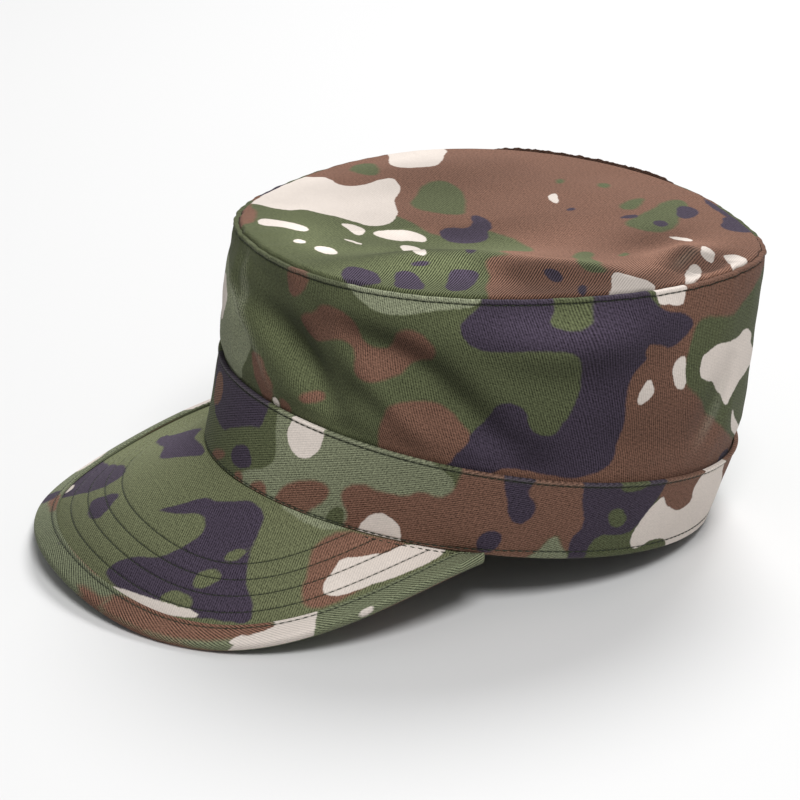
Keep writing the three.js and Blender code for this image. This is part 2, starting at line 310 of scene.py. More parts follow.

# Patches of painted shade (above 0) and painted light (below 0): place across and along, half width and
# length, and how much
TOP_PAINTED_SHADE = [
    (82, -12, 8, 26, 0.65),
    (69, 49, 8, 9, 0.6),
    (33, -66, 10, 12, -0.45),
    (18, -79, 14, 9, -0.45),
    (-2, -76, 16, 12, -0.3),
    (50, -20, 8, 14, -0.25),
    (18, 5, 12, 45, -0.22),
    (-45, 0, 35, 45, 0.15),
]
WALL_PAINTED_SHADE = [
    (38, 34, 8, 13, 0.35),
    (50, 29, 9, 9, 0.3),
    (66, 21, 7, 9, 0.3),
    (89, 35, 8, 7, 0.35),
    (100, 25, 8, 7, 0.4),
    (110, 16, 8, 7, 0.35),
    (126, 9, 12, 8, 0.3),
    (76, 43, 12, 6, 0.3),
    (135, 57, 22, 6, -0.3),
    (140, 48, 12, 5, -0.25),
    (172, 24, 36, 26, 0.2),
    (12, 60, 12, 10, -0.3),
    (43, 52, 12, 6, -0.25),
    (60, 4, 14, 4, -0.3),
]

# Half the width of the groove that a row of stitches presses into the cloth, and of the painted shade along
# it
SEAM_HALF_WIDTH = 0.28
HEM_SEAM_HALF_WIDTH = 0.3

# One stitch is a bead of rings: share of its length, how high and how thick
STITCH_RINGS = ((0.0, -1.0, 0.55), (0.22, 0.55, 0.95), (0.5, 0.8, 1.0), (0.78, 0.55, 0.95), (1.0, -1.0, 0.55))
STITCH_SIDES = 6
STITCH_SINK = 0.02
STITCH_STEP = 0.3
BESIDE_STITCH = 0.5

# Slant of each cloth's ribs in degrees, its tone, and how strong its ribs and its yarns' grain are
# A tone below 1 is painted shade: it darkens all print but cream on the wall and the band against the top
WALL_TWILL = {"slant": 14, "tone": 0.8, "ribs": 0.9, "grain": 1.25}
TOP_TWILL = {"slant": 47, "tone": 1.0, "ribs": 1.5, "grain": 1.0}
BAND_TWILL = {"slant": -68, "tone": 0.86, "ribs": 0.9, "grain": 1.3}
VISOR_TWILL = {"slant": 56, "tone": 1.0, "ribs": 0.9, "grain": 1.2}
BINDING_TWILL = {"slant": 62, "tone": 1.0, "ribs": 1.5, "grain": 1.2}
PLAIN_SLANT = 50

# Noise of the cloth: features in each millimetre, detail and amount
SLOW_WAVER = (0.11, 1.0, 1.6)
QUICK_WAVER = (0.55, 2.0, 0.9)
RIB_DRIFT = (0.35, 2.0, 0.7)
DYE_DRIFT = 0.22

# Where the noise of each coat starts, so that no two coats waver alike
COAT_NOISE_START = 11
COAT_NOISE_STEP = 37.0

# How strong the parts of the weave are, and how much cream print calms them
RIB_SHARE = 0.4
YARN_SHARE = 0.07
CALMED = 0.8
FAINTEST_RIB = 0.15
# Colour of rubbed cloth, also painted as highlight along the creases' ridges
WORN_AND_HIGHLIGHT_COLOUR = (0.42, 0.43, 0.34, 1)
# How far the stitch lines go towards the thread's colour: painted shade in their grooves
STITCH_GROOVE_SHADE_AMOUNT = 0.6

# Studio: lights with their places in metres, sizes and powers
FLOOR_HALF_SIDE = 6.0
WORLD_LIGHT = 0.3
LIGHTS = [
    ("softbox_behind", (-1.0, 0.8, 1.7), 1.0, 31),
    ("softbox_side", (1.1, -0.1, 1.75), 0.8, 26),
]
LIGHTS_AIM = (0, 0, 0.05)

# The camera stands where the photograph was taken from
CAMERA_AZIMUTH = 69.69
CAMERA_ELEVATION = 22.18
CAMERA_DISTANCE = 1000
CAMERA_TARGET = (-1.8, 3.38, 46.94)
CAMERA_LENS = 120.94
CAMERA_SENSOR = 36

# How far from a blotch its depth is still worked out
FAR = 20.0

# How far to the side the print of the visor's underside is charted
UNDERSIDE_SHIFT = 400


def swept(points, corner=2, closed=True):
    """The outline of given points with its corners cut round."""
    line = np.array(points, float)
    for _ in range(corner):
        after = np.roll(line, -1, axis=0) if closed else line[1:]
        before = line if closed else line[:-1]
        cut = np.empty((2 * len(before), 2))
        cut[0::2] = 0.75 * before + 0.25 * after
        cut[1::2] = 0.25 * before + 0.75 * after
        line = cut if closed else np.vstack([line[:1], cut[1:-1], line[-1:]])
    return line


def line_distance(x, y, line, closed):
    """The distance of places from a line of points, and how far along it they lie, from 0 to 1."""
    ends = np.roll(line, -1, axis=0) if closed else line[1:]
    starts = line if closed else line[:-1]
    near = np.full(x.shape, np.inf)
    along = np.zeros(x.shape)
    for number, ((ax, ay), (bx, by)) in enumerate(zip(starts, ends)):
        dx = bx - ax
        dy = by - ay
        share = np.clip(((x - ax) * dx + (y - ay) * dy) / (dx * dx + dy * dy + 1e-12), 0, 1)
        away = np.hypot(x - ax - share * dx, y - ay - share * dy)
        closer = away < near
        near = np.where(closer, away, near)
        along = np.where(closer, (number + share) / len(starts), along)
    return near, along


def inside_outline(x, y, line):
    """Which places lie inside a closed line."""
    inside = np.zeros(x.shape, bool)
    for (ax, ay), (bx, by) in zip(line, np.roll(line, -1, axis=0)):
        crosses = (ay > y) != (by > y)
        at = ax + (y - ay) * (bx - ax) / (by - ay + 1e-12 * (by == ay))
        inside ^= crosses & (x < at)
    return inside


def blotch_depth(x, y, blotch):
    """How deep places lie inside one blotch, in millimetres, negative outside."""
    depth = np.full(x.shape, -FAR)
    if isinstance(blotch, list):
        line = swept(blotch)
        low = line.min(0) - FAR
        high = line.max(0) + FAR
        near = (x > low[0]) & (x < high[0]) & (y > low[1]) & (y < high[1])
        away, _ = line_distance(x[near], y[near], line, True)
        depth[near] = np.where(inside_outline(x[near], y[near], line), away, -away)
        return depth
    centre_x, centre_y, long, wide, turn = blotch
    cos = math.cos(turn * DEGREE)
    sin = math.sin(turn * DEGREE)
    along = (x - centre_x) * cos + (y - centre_y) * sin
    beside = (y - centre_y) * cos - (x - centre_x) * sin
    size = np.hypot(along / long, beside / wide)
    slope = np.hypot(along / long**2, beside / wide**2)
    depth = np.where(slope > 0, size * (1 - size) / np.maximum(slope, 1e-9), min(long, wide))
    return np.clip(depth, -FAR, FAR)


def coat_depth(x, y, coat, loop):
    """How deep places lie inside a coat of colour: its blotches joined, less its gaps."""

    def at(blotch):
        if not loop:
            return blotch_depth(x, y, blotch)
        middle = np.mean([point[0] for point in blotch]) if isinstance(blotch, list) else blotch[0]
        return blotch_depth(x - loop * np.round((x - middle) / loop), y, blotch)

    depth = np.full(x.shape, -FAR)
    for blotch in coat.get("blotches", []):
        depth = np.maximum(depth, at(blotch))
    for gap in coat.get("gaps", []):
        depth = np.minimum(depth, -at(gap))
    return depth


def scattered(seed, region, count, size, slant):
    """Blotches for cloth that the photograph doesn't show: seeded ovals, most of them joined in pairs."""
    rng = np.random.default_rng(seed)
    blotches = []
    for _ in range(count):
        x = rng.uniform(region[0], region[2])
        y = rng.uniform(region[1], region[3])
        long = rng.uniform(0.6, 1.3) * size
        turn = slant + rng.uniform(-40, 40)
        blotches.append((x, y, long, long * rng.uniform(0.35, 0.6), turn))
        if rng.uniform() < 0.7:
            step = rng.uniform(0.5, 0.9) * long
            bend = (turn + rng.uniform(-50, 50)) * DEGREE
            side = (x + step * math.cos(bend), y + step * math.sin(bend))
            blotches.append((*side, long * 0.6, long * rng.uniform(0.3, 0.5), turn + rng.uniform(30, 80)))
    return blotches


# The printed blotches, charted one by one: outlines are lists of places, and ovals are
# (x, y, half length, half width, turn in degrees)
WALL_PRINT = {
    "pale": {"blotches": [
        [(-46, -2), (7, 0), (10, 7), (14.5, 15), (18, 25), (12, 30), (8, 34), (0, 42), (-10, 50),
         (-46, 50)],
        [(63, 68), (66, 64), (71, 61), (76, 58.5), (82, 57.5), (90, 58.5), (98, 60.5), (107, 62.5),
         (114, 63.5), (117, 68)],
        *scattered(11, (-290, 0, -60, 66), 8, 15, 20),
    ]},
    "brown": {"blotches": [
        [(35, 67), (46, 67), (46.5, 60), (41, 54.5), (37, 53), (34.5, 56)],
        [(40.5, 45.5), (49, 50.5), (52.5, 54.5), (57, 55.5), (63, 55.5), (68, 53), (68.5, 47), (72, 43.5),
         (78.5, 43.5), (83, 48.5), (86, 52), (90, 53.2), (95, 52), (100, 47.5), (99, 42.5), (91.5, 42),
         (88.5, 40), (85.5, 33.5), (78, 28), (74, 27.5), (70.5, 30), (69.5, 34), (69.5, 38), (66, 42.5),
         (61, 43), (53, 38.5), (49, 37), (43, 39.5)],
        [(17, 19), (20, 21), (24.5, 20.5), (28, 17), (32, 13), (32.5, 9), (30, 1), (24.5, 0), (21, 8)],
        [(45.5, 10.5), (46.5, 15), (50, 18), (53, 17), (53.5, 14), (48, 8.5)],
        [(35, 6), (40, 6), (41.5, 2), (38, 0), (34.5, 2)],
        [(77, -2), (78.5, 8), (80.5, 14), (84, 20), (88, 23.5), (93, 25.5), (99, 26), (104, 23),
         (108, 18.5), (111, 16), (112, 6), (106, -2)],
        [(110, -3), (118, 6), (140, 8), (154, 20), (155, 47), (164, 54), (171, 58), (172, 68), (214, 69),
         (264, 69), (264, 64), (246, 62.5), (230, 58.5), (218, 54.5), (213, 52.5), (205, 53), (195, 54.5),
         (189.5, 54), (187.5, 51), (185, 46), (185, 36), (187, 32.5), (195, 28), (200, 24.5), (205, 20.5),
         (210, 18), (220, 11.5), (232, 6.5), (245, 3), (262, -3)],
        *scattered(12, (-290, 0, -40, 66), 9, 20, 10),
    ]},
    "navy": {"blotches": [
        [(117, 69), (115, 63), (110, 59), (108.3, 55), (110, 51), (114, 48.3), (125, 47.6), (135, 48.2),
         (141, 47.6), (144.5, 45), (147.5, 37), (145, 26), (141, 22), (139.5, 18.5), (136, 17.3),
         (132.5, 18), (130.3, 21), (130, 26), (126.5, 28.5), (123, 29.2), (119.5, 27.5), (117, 22),
         (111, 15.5), (109, 10.5), (103, 2), (100, -3), (114, -3), (118, 2), (122, 3.9), (127, 4.2),
         (135, 2.8), (144, 1.8), (150, 2.8), (156, 4.5), (160.5, 9), (161, 17), (162.5, 24), (161.5, 31),
         (162.5, 39), (168, 43.5), (165.5, 46), (167, 49), (172, 48), (176, 46.5), (181, 48), (186, 51.5),
         (187.5, 53.5), (185, 56), (178, 58), (173, 59), (169, 62.5), (166, 69)],
        [(221, -3), (222, 1), (225, 2.7), (230, 3.2), (236, 2), (239, -3)],
        *scattered(13, (-285, 0, -50, 66), 7, 20, 60),
    ], "gaps": [
        [(139, 69), (140, 61.5), (136.2, 58.5), (137.5, 56), (141, 54.6), (145, 54.8), (148, 56.5),
         (149.2, 60), (150, 69)],
    ]},
    "cream": {"blotches": [
        [(30.5, 1), (31.2, 5.6), (34, 4), (34.8, 0.8)],
        [(-198, 57), (-196, 70), (-150, 70), (-152, 58), (-175, 54)],
        [(-26, 40), (-14, 44), (-7, 41), (-2.5, 37), (-3.5, 31), (-7, 25), (-14, 20), (-26, 24)],
        [(40, -3), (41, 0.6), (56, 0.8), (57, -3)],
        [(168, 68), (170, 63.5), (170.7, 61.2), (175, 60.9), (179, 60.2), (182.4, 60.3), (183.8, 68)],
        [(170, 37), (172.2, 34), (172, 31.5), (170, 29.8), (167.5, 28.2), (165.7, 29.2), (166, 31.5),
         (168, 35.5)],
        [(183.5, 43.8), (185.2, 42), (185.7, 37), (186.8, 33), (184.5, 31.7), (181.5, 33), (180, 36),
         (179, 39.8), (180.5, 42.8)],
        [(192.5, 41.5), (196, 42.8), (202, 44.6), (210, 43.8), (218, 43.8), (224, 45.2), (230, 43.5),
         (235, 41), (232, 39.5), (240, 34.2), (262, 33), (262, 27), (250, 27), (240, 29.5), (228, 28.5),
         (223, 27), (219, 24.5), (216.8, 20.8), (214, 24), (210.5, 28), (206, 30.8), (200, 33),
         (193.5, 34.2)],
        [(221.8, 19.5), (225, 16), (230, 13), (238, 9.5), (247, 6.5), (262, 5), (262, 0), (250, 2.5),
         (240, 5), (230, 9), (225, 11.5), (222, 15.5)],
        *scattered(14, (-280, 8, -60, 62), 6, 9, 10),
    ]},
}

BAND_PRINT = {
    "pale": {"blotches": [
        [(35, 36), (36, 27), (38, 22), (39.7, 16), (39, 12.5), (35, 8.5), (31, 7), (26, 5), (23, 3),
         (22, -4), (110, -4), (110, 36)],
        [(139.5, -4), (140.5, 0.8), (143, 2.3), (144.5, 6.3), (145.8, 9.6), (147.5, 10.2), (149.5, 8.8),
         (152, 5.3), (156.5, 0), (157, -4)],
        *scattered(21, (-290, 0, -60, 31), 4, 18, 0),
    ], "gaps": [
        [(67.5, -4), (68.5, 5.3), (71, 7.5), (74, 6), (75, -4)],
    ]},
    "brown": {"blotches": [
        (-11.5, 22.5, 8, 6.5, -5),
        (4, 3, 7, 1.8, 20),
        (23, 0.5, 3, 3, 0),
        [(30, -4), (30.5, 1.3), (33, 3.3), (37, 4.6), (40, 3.3), (41, -4)],
        [(43.5, -4), (45.5, 5.3), (48.5, 8.8), (53, 11.3), (58, 12.8), (63, 13.5), (66.3, 11.8), (66, 8),
         (63, 4), (60, 1), (59, -4)],
        [(107, 36), (107.8, 28), (107, 23), (105, 20), (102, 19.6), (98.5, 21), (95, 20), (92.5, 17.3),
         (82, 16.8), (79, 18.2), (74, 17.3), (71, 14.8), (70.3, 12), (72, 9), (74.5, 6.5), (75.5, 3.5),
         (74, -4), (160, -4), (160, 36)],
        [(184, 36), (184, 28), (184, 25), (190, 18), (200, 14), (206, 17), (207, 21), (206, 24),
         (206.5, 28), (210, 36)],
        [(224, 36), (226, 27), (231, 20), (240, 14), (247, 12), (268, 11), (268, 36)],
        *scattered(22, (-290, 0, -40, 31), 6, 19, 10),
    ], "gaps": [
        [(139.5, -4), (140.5, 0.8), (143, 2.3), (144.5, 6.3), (145.8, 9.6), (147.5, 10.2), (149.5, 8.8),
         (152, 5.3), (156.5, 0), (157, -4)],
    ]},
    "navy": {"blotches": [
        [(-26, 36), (31, 36), (30, 26), (28.5, 22), (24, 21), (17, 18.3), (10, 15.3), (6, 12.8), (0, 12.6),
         (-7, 13.8), (-14, 17), (-26, 24)],
        [(14.3, 7.3), (16, 10.3), (20, 12.8), (24.5, 13.3), (27.5, 10.8), (29.2, 7.8), (25, 5.3), (21, 4.1),
         (17, 4.3)],
        [(121, 36), (121.5, 31), (124, 26.3), (126, 21.8), (128, 16.8), (131.5, 13.7), (134.7, 14.8),
         (136.8, 19.3), (135, 23.3), (131.5, 25.5), (131, 29), (133, 36)],
        [(121, 6), (122.5, 9.1), (125.5, 10.3), (128.5, 8.8), (129.4, 5.3), (128, 1.6), (125, 0.4),
         (122, 2)],
        [(148, 36), (151, 26.3), (153, 22.3), (155.5, 17.3), (156.4, 12.8), (154, 10.3), (153.5, 6.3),
         (156, 1), (156, -4), (163, -4), (162.3, 2), (162.3, 7.5), (165, 10), (170, 10.3), (176, 9.8),
         (179, 11.8), (180, 15.3), (182, 19.3), (183.5, 23.3), (184.6, 28), (184, 36)],
        *scattered(23, (-285, 0, -50, 31), 4, 18, 50),
    ], "gaps": [
        (-11.5, 22.5, 7, 5.7, -5),
        [(163.3, 20.3), (166.5, 22.2), (170, 20.8), (173.2, 16.8), (172.5, 13.6), (170, 12.8),
         (166.5, 14.8)],
        [(163.5, 36), (164.5, 30.6), (167, 28.9), (172, 28.6), (175.7, 30.5), (177, 36)],
    ]},
    "cream": {"blotches": [
        [(43, 36), (43.5, 31), (42, 26.3), (43.5, 22.3), (47, 19.8), (51, 18.7), (55, 20.3), (57.2, 23.8),
         (57.8, 28.3), (57, 36)],
        [(79.5, -4), (80.3, 1.5), (81.5, 4.8), (84, 8), (86.5, 9.3), (89.5, 8.3), (93.5, 6.3), (95.8, 3),
         (97, -4)],
        [(186.5, 25.5), (184.5, 23.3), (182, 19.3), (180, 15.3), (179, 9.8), (180, 5.3), (182.5, 2.5),
         (186, 2.2), (189, 4.6), (194, 5.2), (199, 4.3), (202, 1), (204, -4), (268, -4), (268, 13),
         (254, 13.3), (247, 14.8), (240, 17.3), (233, 22.3), (227, 27.3), (225, 32), (224, 36), (209, 36),
         (205.3, 28.8), (204, 26.3), (204.5, 23.3), (206, 19.8), (204, 17.6), (200, 16.4), (195, 18.3),
         (190, 21.3)],
        *scattered(24, (-280, 4, -60, 28), 3, 9, 0),
    ]},
}

TOP_PRINT = {
    "green": {"blotches": [
        [(-41, -10.4), (-36, -6.2), (-29.3, -5), (-21.3, -7.5), (-14.7, -10.2), (-7, -13), (-8.5, -19.7),
         (-12, -27), (-17.3, -30), (-22.7, -28.6), (-29.3, -23.7), (-37.3, -19)],
        [(-72, -25.7), (-64, -27.7), (-56, -29), (-50, -32.4), (-52, -37), (-58.7, -39.2), (-66.7, -38),
         (-77, -30)],
        [(-42, -92), (-20, -60), (-12, -38.5), (-6.7, -36.4), (0, -33), (6, -31), (8, -24), (5, -14),
         (7, -9.5), (14.7, -4.4), (22.7, -1.7), (31, -1.7), (41, -6.4), (47, -12), (47.5, -20), (49, -28),
         (56, -31), (63, -31.7), (71, -36), (80, -40), (96, -42), (96, -112), (-42, -112)],
        [(-7, 76), (-5.5, 68.3), (0, 61.6), (5.3, 56.3), (9.3, 51), (13.3, 45.6), (16.7, 40.3), (21.3, 38),
         (26.7, 42), (29.6, 48.3), (26.7, 55), (21.3, 59.6), (14.7, 63), (6, 72)],
        [(-8, 58.5), (-4, 57), (1.3, 53), (6, 49), (4.7, 43.4), (0, 44.8), (-4, 49.6)],
        [(-28, 52.7), (-24, 52.7), (-18.5, 48.3), (-22, 45.7), (-27.3, 48.3)],
        (-31, 34.5, 3.2, 1.6, -30),
        [(40, 13.6), (42, 16.3), (48, 14.3), (53.3, 9.6), (61.3, 9), (70, 9.6), (66.7, 3), (58.7, 1.6),
         (49.3, 4.3), (42.7, 9)],
        (46, 26.5, 3.5, 1.4, -45),
        [(66, 74), (70, 69), (78, 60), (90, 55), (90, 80)],
    ], "gaps": [
        [(-38, -84), (-33.3, -87), (-22.7, -87.5), (-14.7, -90.4), (-9, -95.7), (-8, -106), (-38, -106)],
    ]},
    "navy": {"blotches": [
        [(-7, -9.7), (-3.3, -7.3), (2, -6.2), (6.5, -7.7), (8, -10), (13.3, -11), (15.5, -15.7),
         (14.7, -23), (10.7, -27.2), (5.3, -28), (1.8, -24.4), (2, -20), (3.5, -15.7), (0, -12.6),
         (-4, -12.4)],
        [(0.5, 73.6), (2.7, 76.1), (9.3, 73.8), (14.7, 68.3), (17, 62.8), (12, 62.8), (4, 66.3),
         (-0.2, 70.3)],
        [(13, 82), (18.7, 79), (25.3, 74.1), (30.7, 76.3), (34.5, 81), (30, 92), (12, 92)],
        (21.7, 51.9, 3.4, 2.5, -25),
        [(11.3, 48), (15.5, 44.3), (13.3, 38.6), (10.5, 43.6)],
        (3, 85, 12, 1.8, 0),
        [(23, -20.4), (29.3, -20.2), (38.7, -25.7), (46.3, -30.4), (45.3, -35.3), (37.3, -29.9), (28, -25)],
        [(59, -11), (61.3, -6.8), (68, -6.8), (74.3, -9.7), (73.5, -13), (65.3, -13)],
        [(76.5, -2.7), (81.3, -3.5), (87, -7), (86, -9.2), (80, -6.6)],
        [(55.8, -41), (59.3, -35.5), (64, -36.2), (76, -44.4), (76.5, -49.7), (73.3, -52.3), (64, -47.9),
         (57.3, -44.6)],
        [(55, -63), (56.5, -57.5), (62.7, -56.5), (73, -58.4), (71.5, -63.7), (68, -69), (61.3, -65.9)],
        [(45.8, -77), (50.7, -72.2), (56, -69.5), (64.2, -71), (62.7, -77), (56, -82.6), (48.7, -80.6)],
        (51, -52.5, 4.3, 1.7, 95),
        (0, 25.6, 2, 1.2, -60),
    ]},
    "cream": {"blotches": [
        [(-92, 8), (-79.7, 7.6), (-73.3, 3.6), (-65.3, -0.4), (-58.7, -3), (-54, -6.2), (-51.8, -10.4),
         (-52.2, -15.7), (-54.3, -21.2), (-58.7, -22.9), (-65.3, -21.9), (-73.3, -19), (-81, -16.2),
         (-92, -12)],
        [(-46.3, -28), (-39.5, -27.2), (-33.3, -29), (-28, -33), (-20, -35.7), (-10.7, -38), (-6, -41.7),
         (-3.5, -46.5), (-4.3, -51.7), (-8.7, -56.5), (-14.7, -61), (-18, -65.7), (-22.9, -70),
         (-22.2, -75.7), (-25.3, -79.2), (-31, -82), (-38, -86), (-50, -95), (-76, -60), (-62, -49.3),
         (-53, -49), (-46.7, -48.4), (-43, -45), (-43, -40), (-45.5, -33)],
        [(1.3, -38.4), (6, -33.9), (10.7, -33.8), (12.6, -37), (10.9, -41), (12.2, -45), (10.6, -49.9),
         (3.3, -52.9), (0.4, -49.7), (0.9, -43.7)],
        [(0, -53.8), (4.9, -57), (3.5, -59.7), (-1.3, -59.6), (-6, -61.6), (-7.6, -59.7), (-4.7, -56.2)],
        [(17.7, -45.7), (19.1, -41.8), (24, -41.4), (32, -44.7), (40, -48.1), (46.4, -48.6), (44.9, -52),
         (38.7, -52.7), (28, -50.4), (20, -48.6)],
        [(1.5, -76.4), (-1.3, -74.6), (-6.9, -77), (-11.5, -82.4), (-14.4, -88.4), (-12, -91.4),
         (-6.5, -91.2), (-4.3, -85), (0.9, -79.7)],
        (13.4, -83.7, 2.8, 2.2, -10),
        [(19.8, -79.7), (21.1, -76.2), (26, -74.1), (31.6, -75.5), (28.9, -79.9), (23.3, -82)],
        (14, -63.6, 4.8, 0.9, 20),
        [(-17.7, 26.5), (-12, 25.9), (-6.4, 23), (-10.7, 21), (-15.5, 22.8)],
        [(69.5, 11.2), (74.7, 15.8), (80, 19.8), (86, 20.5), (94, 20), (94, -2), (87.3, 2.1), (80, 6.1),
         (73.3, 8.8)],
        [(31.6, 50.8), (34.5, 55.3), (38, 56.6), (39.8, 55.6), (36.2, 52.8), (32.7, 50)],
        [(48.2, 56), (57.3, 56.8), (62.9, 53.2), (67.8, 50.2), (60, 49.6), (54.7, 52), (51, 54)],
        [(58, 64), (61.3, 66), (67.3, 65.6), (70.2, 59.6), (71.5, 56), (65.3, 58), (58.5, 58.4)],
        [(65.3, 44.5), (71.3, 44.8), (76.9, 41.8), (81.5, 36.3), (83, 32.6), (77.1, 34.7), (70, 40)],
        (-20, 92, 24, 3, 0),
    ]},
}

VISOR_PRINT = {
    "pale": {"blotches": [
        [(63.5, -66), (60.5, -74.5), (55.8, -78.8), (48.3, -83.7), (42, -86), (44, -83), (52, -78),
         (58, -70)],
    ]},
    "brown": {"blotches": [
        [(74, -50), (70, -58), (66, -64.4), (63.3, -68.4), (62.5, -75), (64.7, -80.6), (68.7, -82.6),
         (74, -84.6), (78, -87.2), (86, -88.5), (90, -80), (86, -60), (80, -48)],
    ]},
    "navy": {"blotches": [
        [(-62.5, -97), (-52.7, -97.5), (-44.7, -94.6), (-38.7, -92.2), (-33.3, -91.4), (-30, -95),
         (-26, -97.3), (-15.3, -97.5), (-5.5, -99), (-10, -101.9), (-16.7, -105.9), (-22, -109.2),
         (-27.3, -109.4), (-32.7, -107.2), (-36.7, -104.6), (-48.7, -103.9), (-58, -101.2)],
        [(-81, -113.7), (-71.3, -116.2), (-62, -118.2), (-51.3, -118.2), (-38, -117.3), (-29.3, -121.5),
         (-26, -125.7), (-29, -132.6), (-35.3, -136), (-43.3, -140), (-48.7, -140), (-56, -134),
         (-68.7, -126), (-76, -120.4)],
        [(-18.9, -132.4), (-15.3, -128.2), (-10, -127.4), (-7.8, -131), (-2, -135.7), (-1, -137.9),
         (-8.7, -139.6), (-15.3, -137.2), (-19.5, -135.7)],
        [(12.4, -120.8), (16.7, -113.7), (19.3, -105.7), (26, -102.8), (31.3, -96.2), (36.7, -92.1),
         (43.3, -91.4), (48.7, -94.8), (55.3, -99.5), (64.7, -102.8), (75.3, -102.8), (82, -105),
         (76.7, -110.5), (71.3, -117), (67, -121.5), (58, -129), (50, -135.5), (39.3, -140.5),
         (30.5, -142.5), (27.8, -139), (30, -132.4), (36.7, -125.7), (38.2, -117.7), (37.3, -111),
         (32.7, -108.2), (27.3, -108.8), (22, -114.4), (16.7, -118.6)],
    ], "gaps": [
        [(51.1, -115.7), (53.3, -110.8), (57.5, -108.8), (59.6, -111), (58.9, -116.6), (55.3, -118.8)],
        [(52.5, -129.2), (53.1, -124.4), (59.3, -119.5), (63.5, -119.5), (64.2, -122.4), (58, -128.6)],
        (52.6, -103.5, 3.4, 2.1, 70),
    ]},
    "cream": {"blotches": [
        [(78, -36), (82.7, -38.8), (85.5, -44.4), (87.5, -51), (88.4, -60.4), (87.7, -71), (87.1, -77.7),
         (83.3, -81.1), (79, -80), (76.5, -75.9), (73.5, -73.7), (73.8, -69.7), (75.9, -65.7),
         (75.9, -61.7), (77.2, -56.4), (75.2, -53.7), (75.9, -48.4), (77, -41.7)],
        [(-59, -132.4), (-52.7, -131.4), (-46.9, -136.4), (-49.3, -138.2), (-56, -136)],
        [(69.5, -118.5), (65, -125), (55, -134), (45, -140), (36, -142.5), (45.2, -136.2), (56.2, -128),
         (65.3, -120.2)],
    ]},
}

BINDING_PRINT = {
    "brown": {"blotches": [
        [(89.2, -98), (88.5, -103), (85.5, -111.5), (79, -122), (71, -131), (61, -139), (51, -145),
         (46, -147), (42, -144.5), (46, -139.5), (55, -132.5), (66, -124), (72.5, -116), (79, -106.5),
         (84, -100.5)],
        [(27, -151), (34, -148.5), (46, -145.8), (44, -149), (33, -152)],
        [(3, -146.5), (20, -144.5), (31, -141.5), (38, -140.5), (33, -144.5), (20, -148.3), (5, -149.8)],
        [(-47, -139.5), (-38, -142), (-27, -145.5), (-27, -148.2), (-40, -145.7), (-50, -142)],
        (18, -153.7, 2.5, 0.8, 10),
    ]},
    "navy": {"blotches": [
        [(-54, -136.5), (-45, -141), (-40, -147), (-48, -146), (-57, -141.5)],
        (3.3, -152.6, 1.6, 0.7, 0),
    ]},
    "cream": {"blotches": [
        (99.8, -71, 3.6, 1.6, 90),
        [(85, -84.8), (98, -86.5), (97, -95), (92, -106), (86, -113.5), (83.8, -111), (88, -102.5),
         (88.5, -97.5), (81, -100.5), (83.5, -92)],
        [(67.5, -120.5), (63, -126), (54, -133), (45, -138.5), (38, -140.5), (40, -138), (56, -128),
         (66, -118)],
        [(-90, -108), (-84, -112.5), (-70, -125), (-70, -129), (-86, -119), (-92, -112)],
        [(-102, -63), (-94, -66), (-91, -76), (-99, -80)],
    ]},
}

# The visor's underside and the far part of its binding, which the photograph doesn't show
UNDER_PRINT = {
    "pale": {"blotches": scattered(31, (-90, -150, 90, -20), 5, 18, 10)},
    "brown": {"blotches": scattered(32, (-90, -150, 90, -20), 7, 20, 20)},
    "navy": {"blotches": scattered(33, (-90, -150, 90, -20), 6, 18, -30)},
    "cream": {"blotches": scattered(34, (-90, -150, 90, -20), 5, 11, 40)},
}

COATS = ["pale", "green", "brown", "navy", "cream"]
COAT_SOFTNESS = {"pale": 1.6, "green": 3.4, "brown": 3.2, "navy": 1.8, "cream": 1.0}

# Edges of the meshes that turn by more degrees than this look sharp
SHARP_ANGLE = 55


def fold_sum(folds, across, up, loop=0):
    """How far a sheet stands out, from a table of swells and hollows."""
    total = np.zeros(np.broadcast(across, up).shape)
    for place, height, long, wide, turn, out in folds:
        x = across - place
        if loop:
            x = x - loop * np.round(x / loop)
        y = up - height
        cos = math.cos(turn * DEGREE)
        sin = math.sin(turn * DEGREE)
        total += out * np.exp(-(((x * cos + y * sin) / long) ** 2) - ((y * cos - x * sin) / wide) ** 2)
    return total


def crease_sum(creases, across, up, loop=0):
    """How far pinched creases lift a sheet, each fading out at its two ends."""
    total = np.zeros(np.broadcast(across, up).shape)
    for points, width, out in creases:
        line = swept(points, 2, False)
        x = np.broadcast_to(across, total.shape)
        if loop:
            x = x - loop * np.round((x - line[:, 0].mean()) / loop)
        away, along = line_distance(x, np.broadcast_to(up, total.shape), line, False)
        total += out * np.exp(-((away / width) ** 2)) * np.sin(math.pi * np.clip(along, 0.03, 0.97)) ** 0.5
    return total


def ripples(uneven, around):
    """Small uneven waves along a seam, the same each time for a seed."""
    seed, waves, size = uneven
    rng = np.random.default_rng(seed)
    total = np.zeros(np.shape(around))
    for wave in waves:
        count = round(WALL_LOOP / wave)
        tall = size * rng.uniform(0.5, 1)
        total = total + tall * np.sin(around * 2 * math.pi * count / WALL_LOOP + rng.uniform(0, 7))
    return total


def crumple(uneven, x, y, loop=0):
    """Soft irregular unevenness over a sheet."""
    seed, waves, size = uneven
    rng = np.random.default_rng(seed)
    total = np.zeros(np.broadcast(x, y).shape)
    for wave in waves:
        for _ in range(3):
            turn = rng.uniform(0, math.pi)
            across = 2 * math.pi * math.cos(turn) / wave
            if loop:
                across = 2 * math.pi * round(across * loop / (2 * math.pi)) / loop
            upwards = 2 * math.pi * math.sin(turn) / wave
            total += size * wave / waves[0] * np.sin(x * across + y * upwards + rng.uniform(0, 7)) / 3
    return total


def height_of(level, y):
    return level["height"] - level["rise"] * (y - level["back"]) / level["long"]


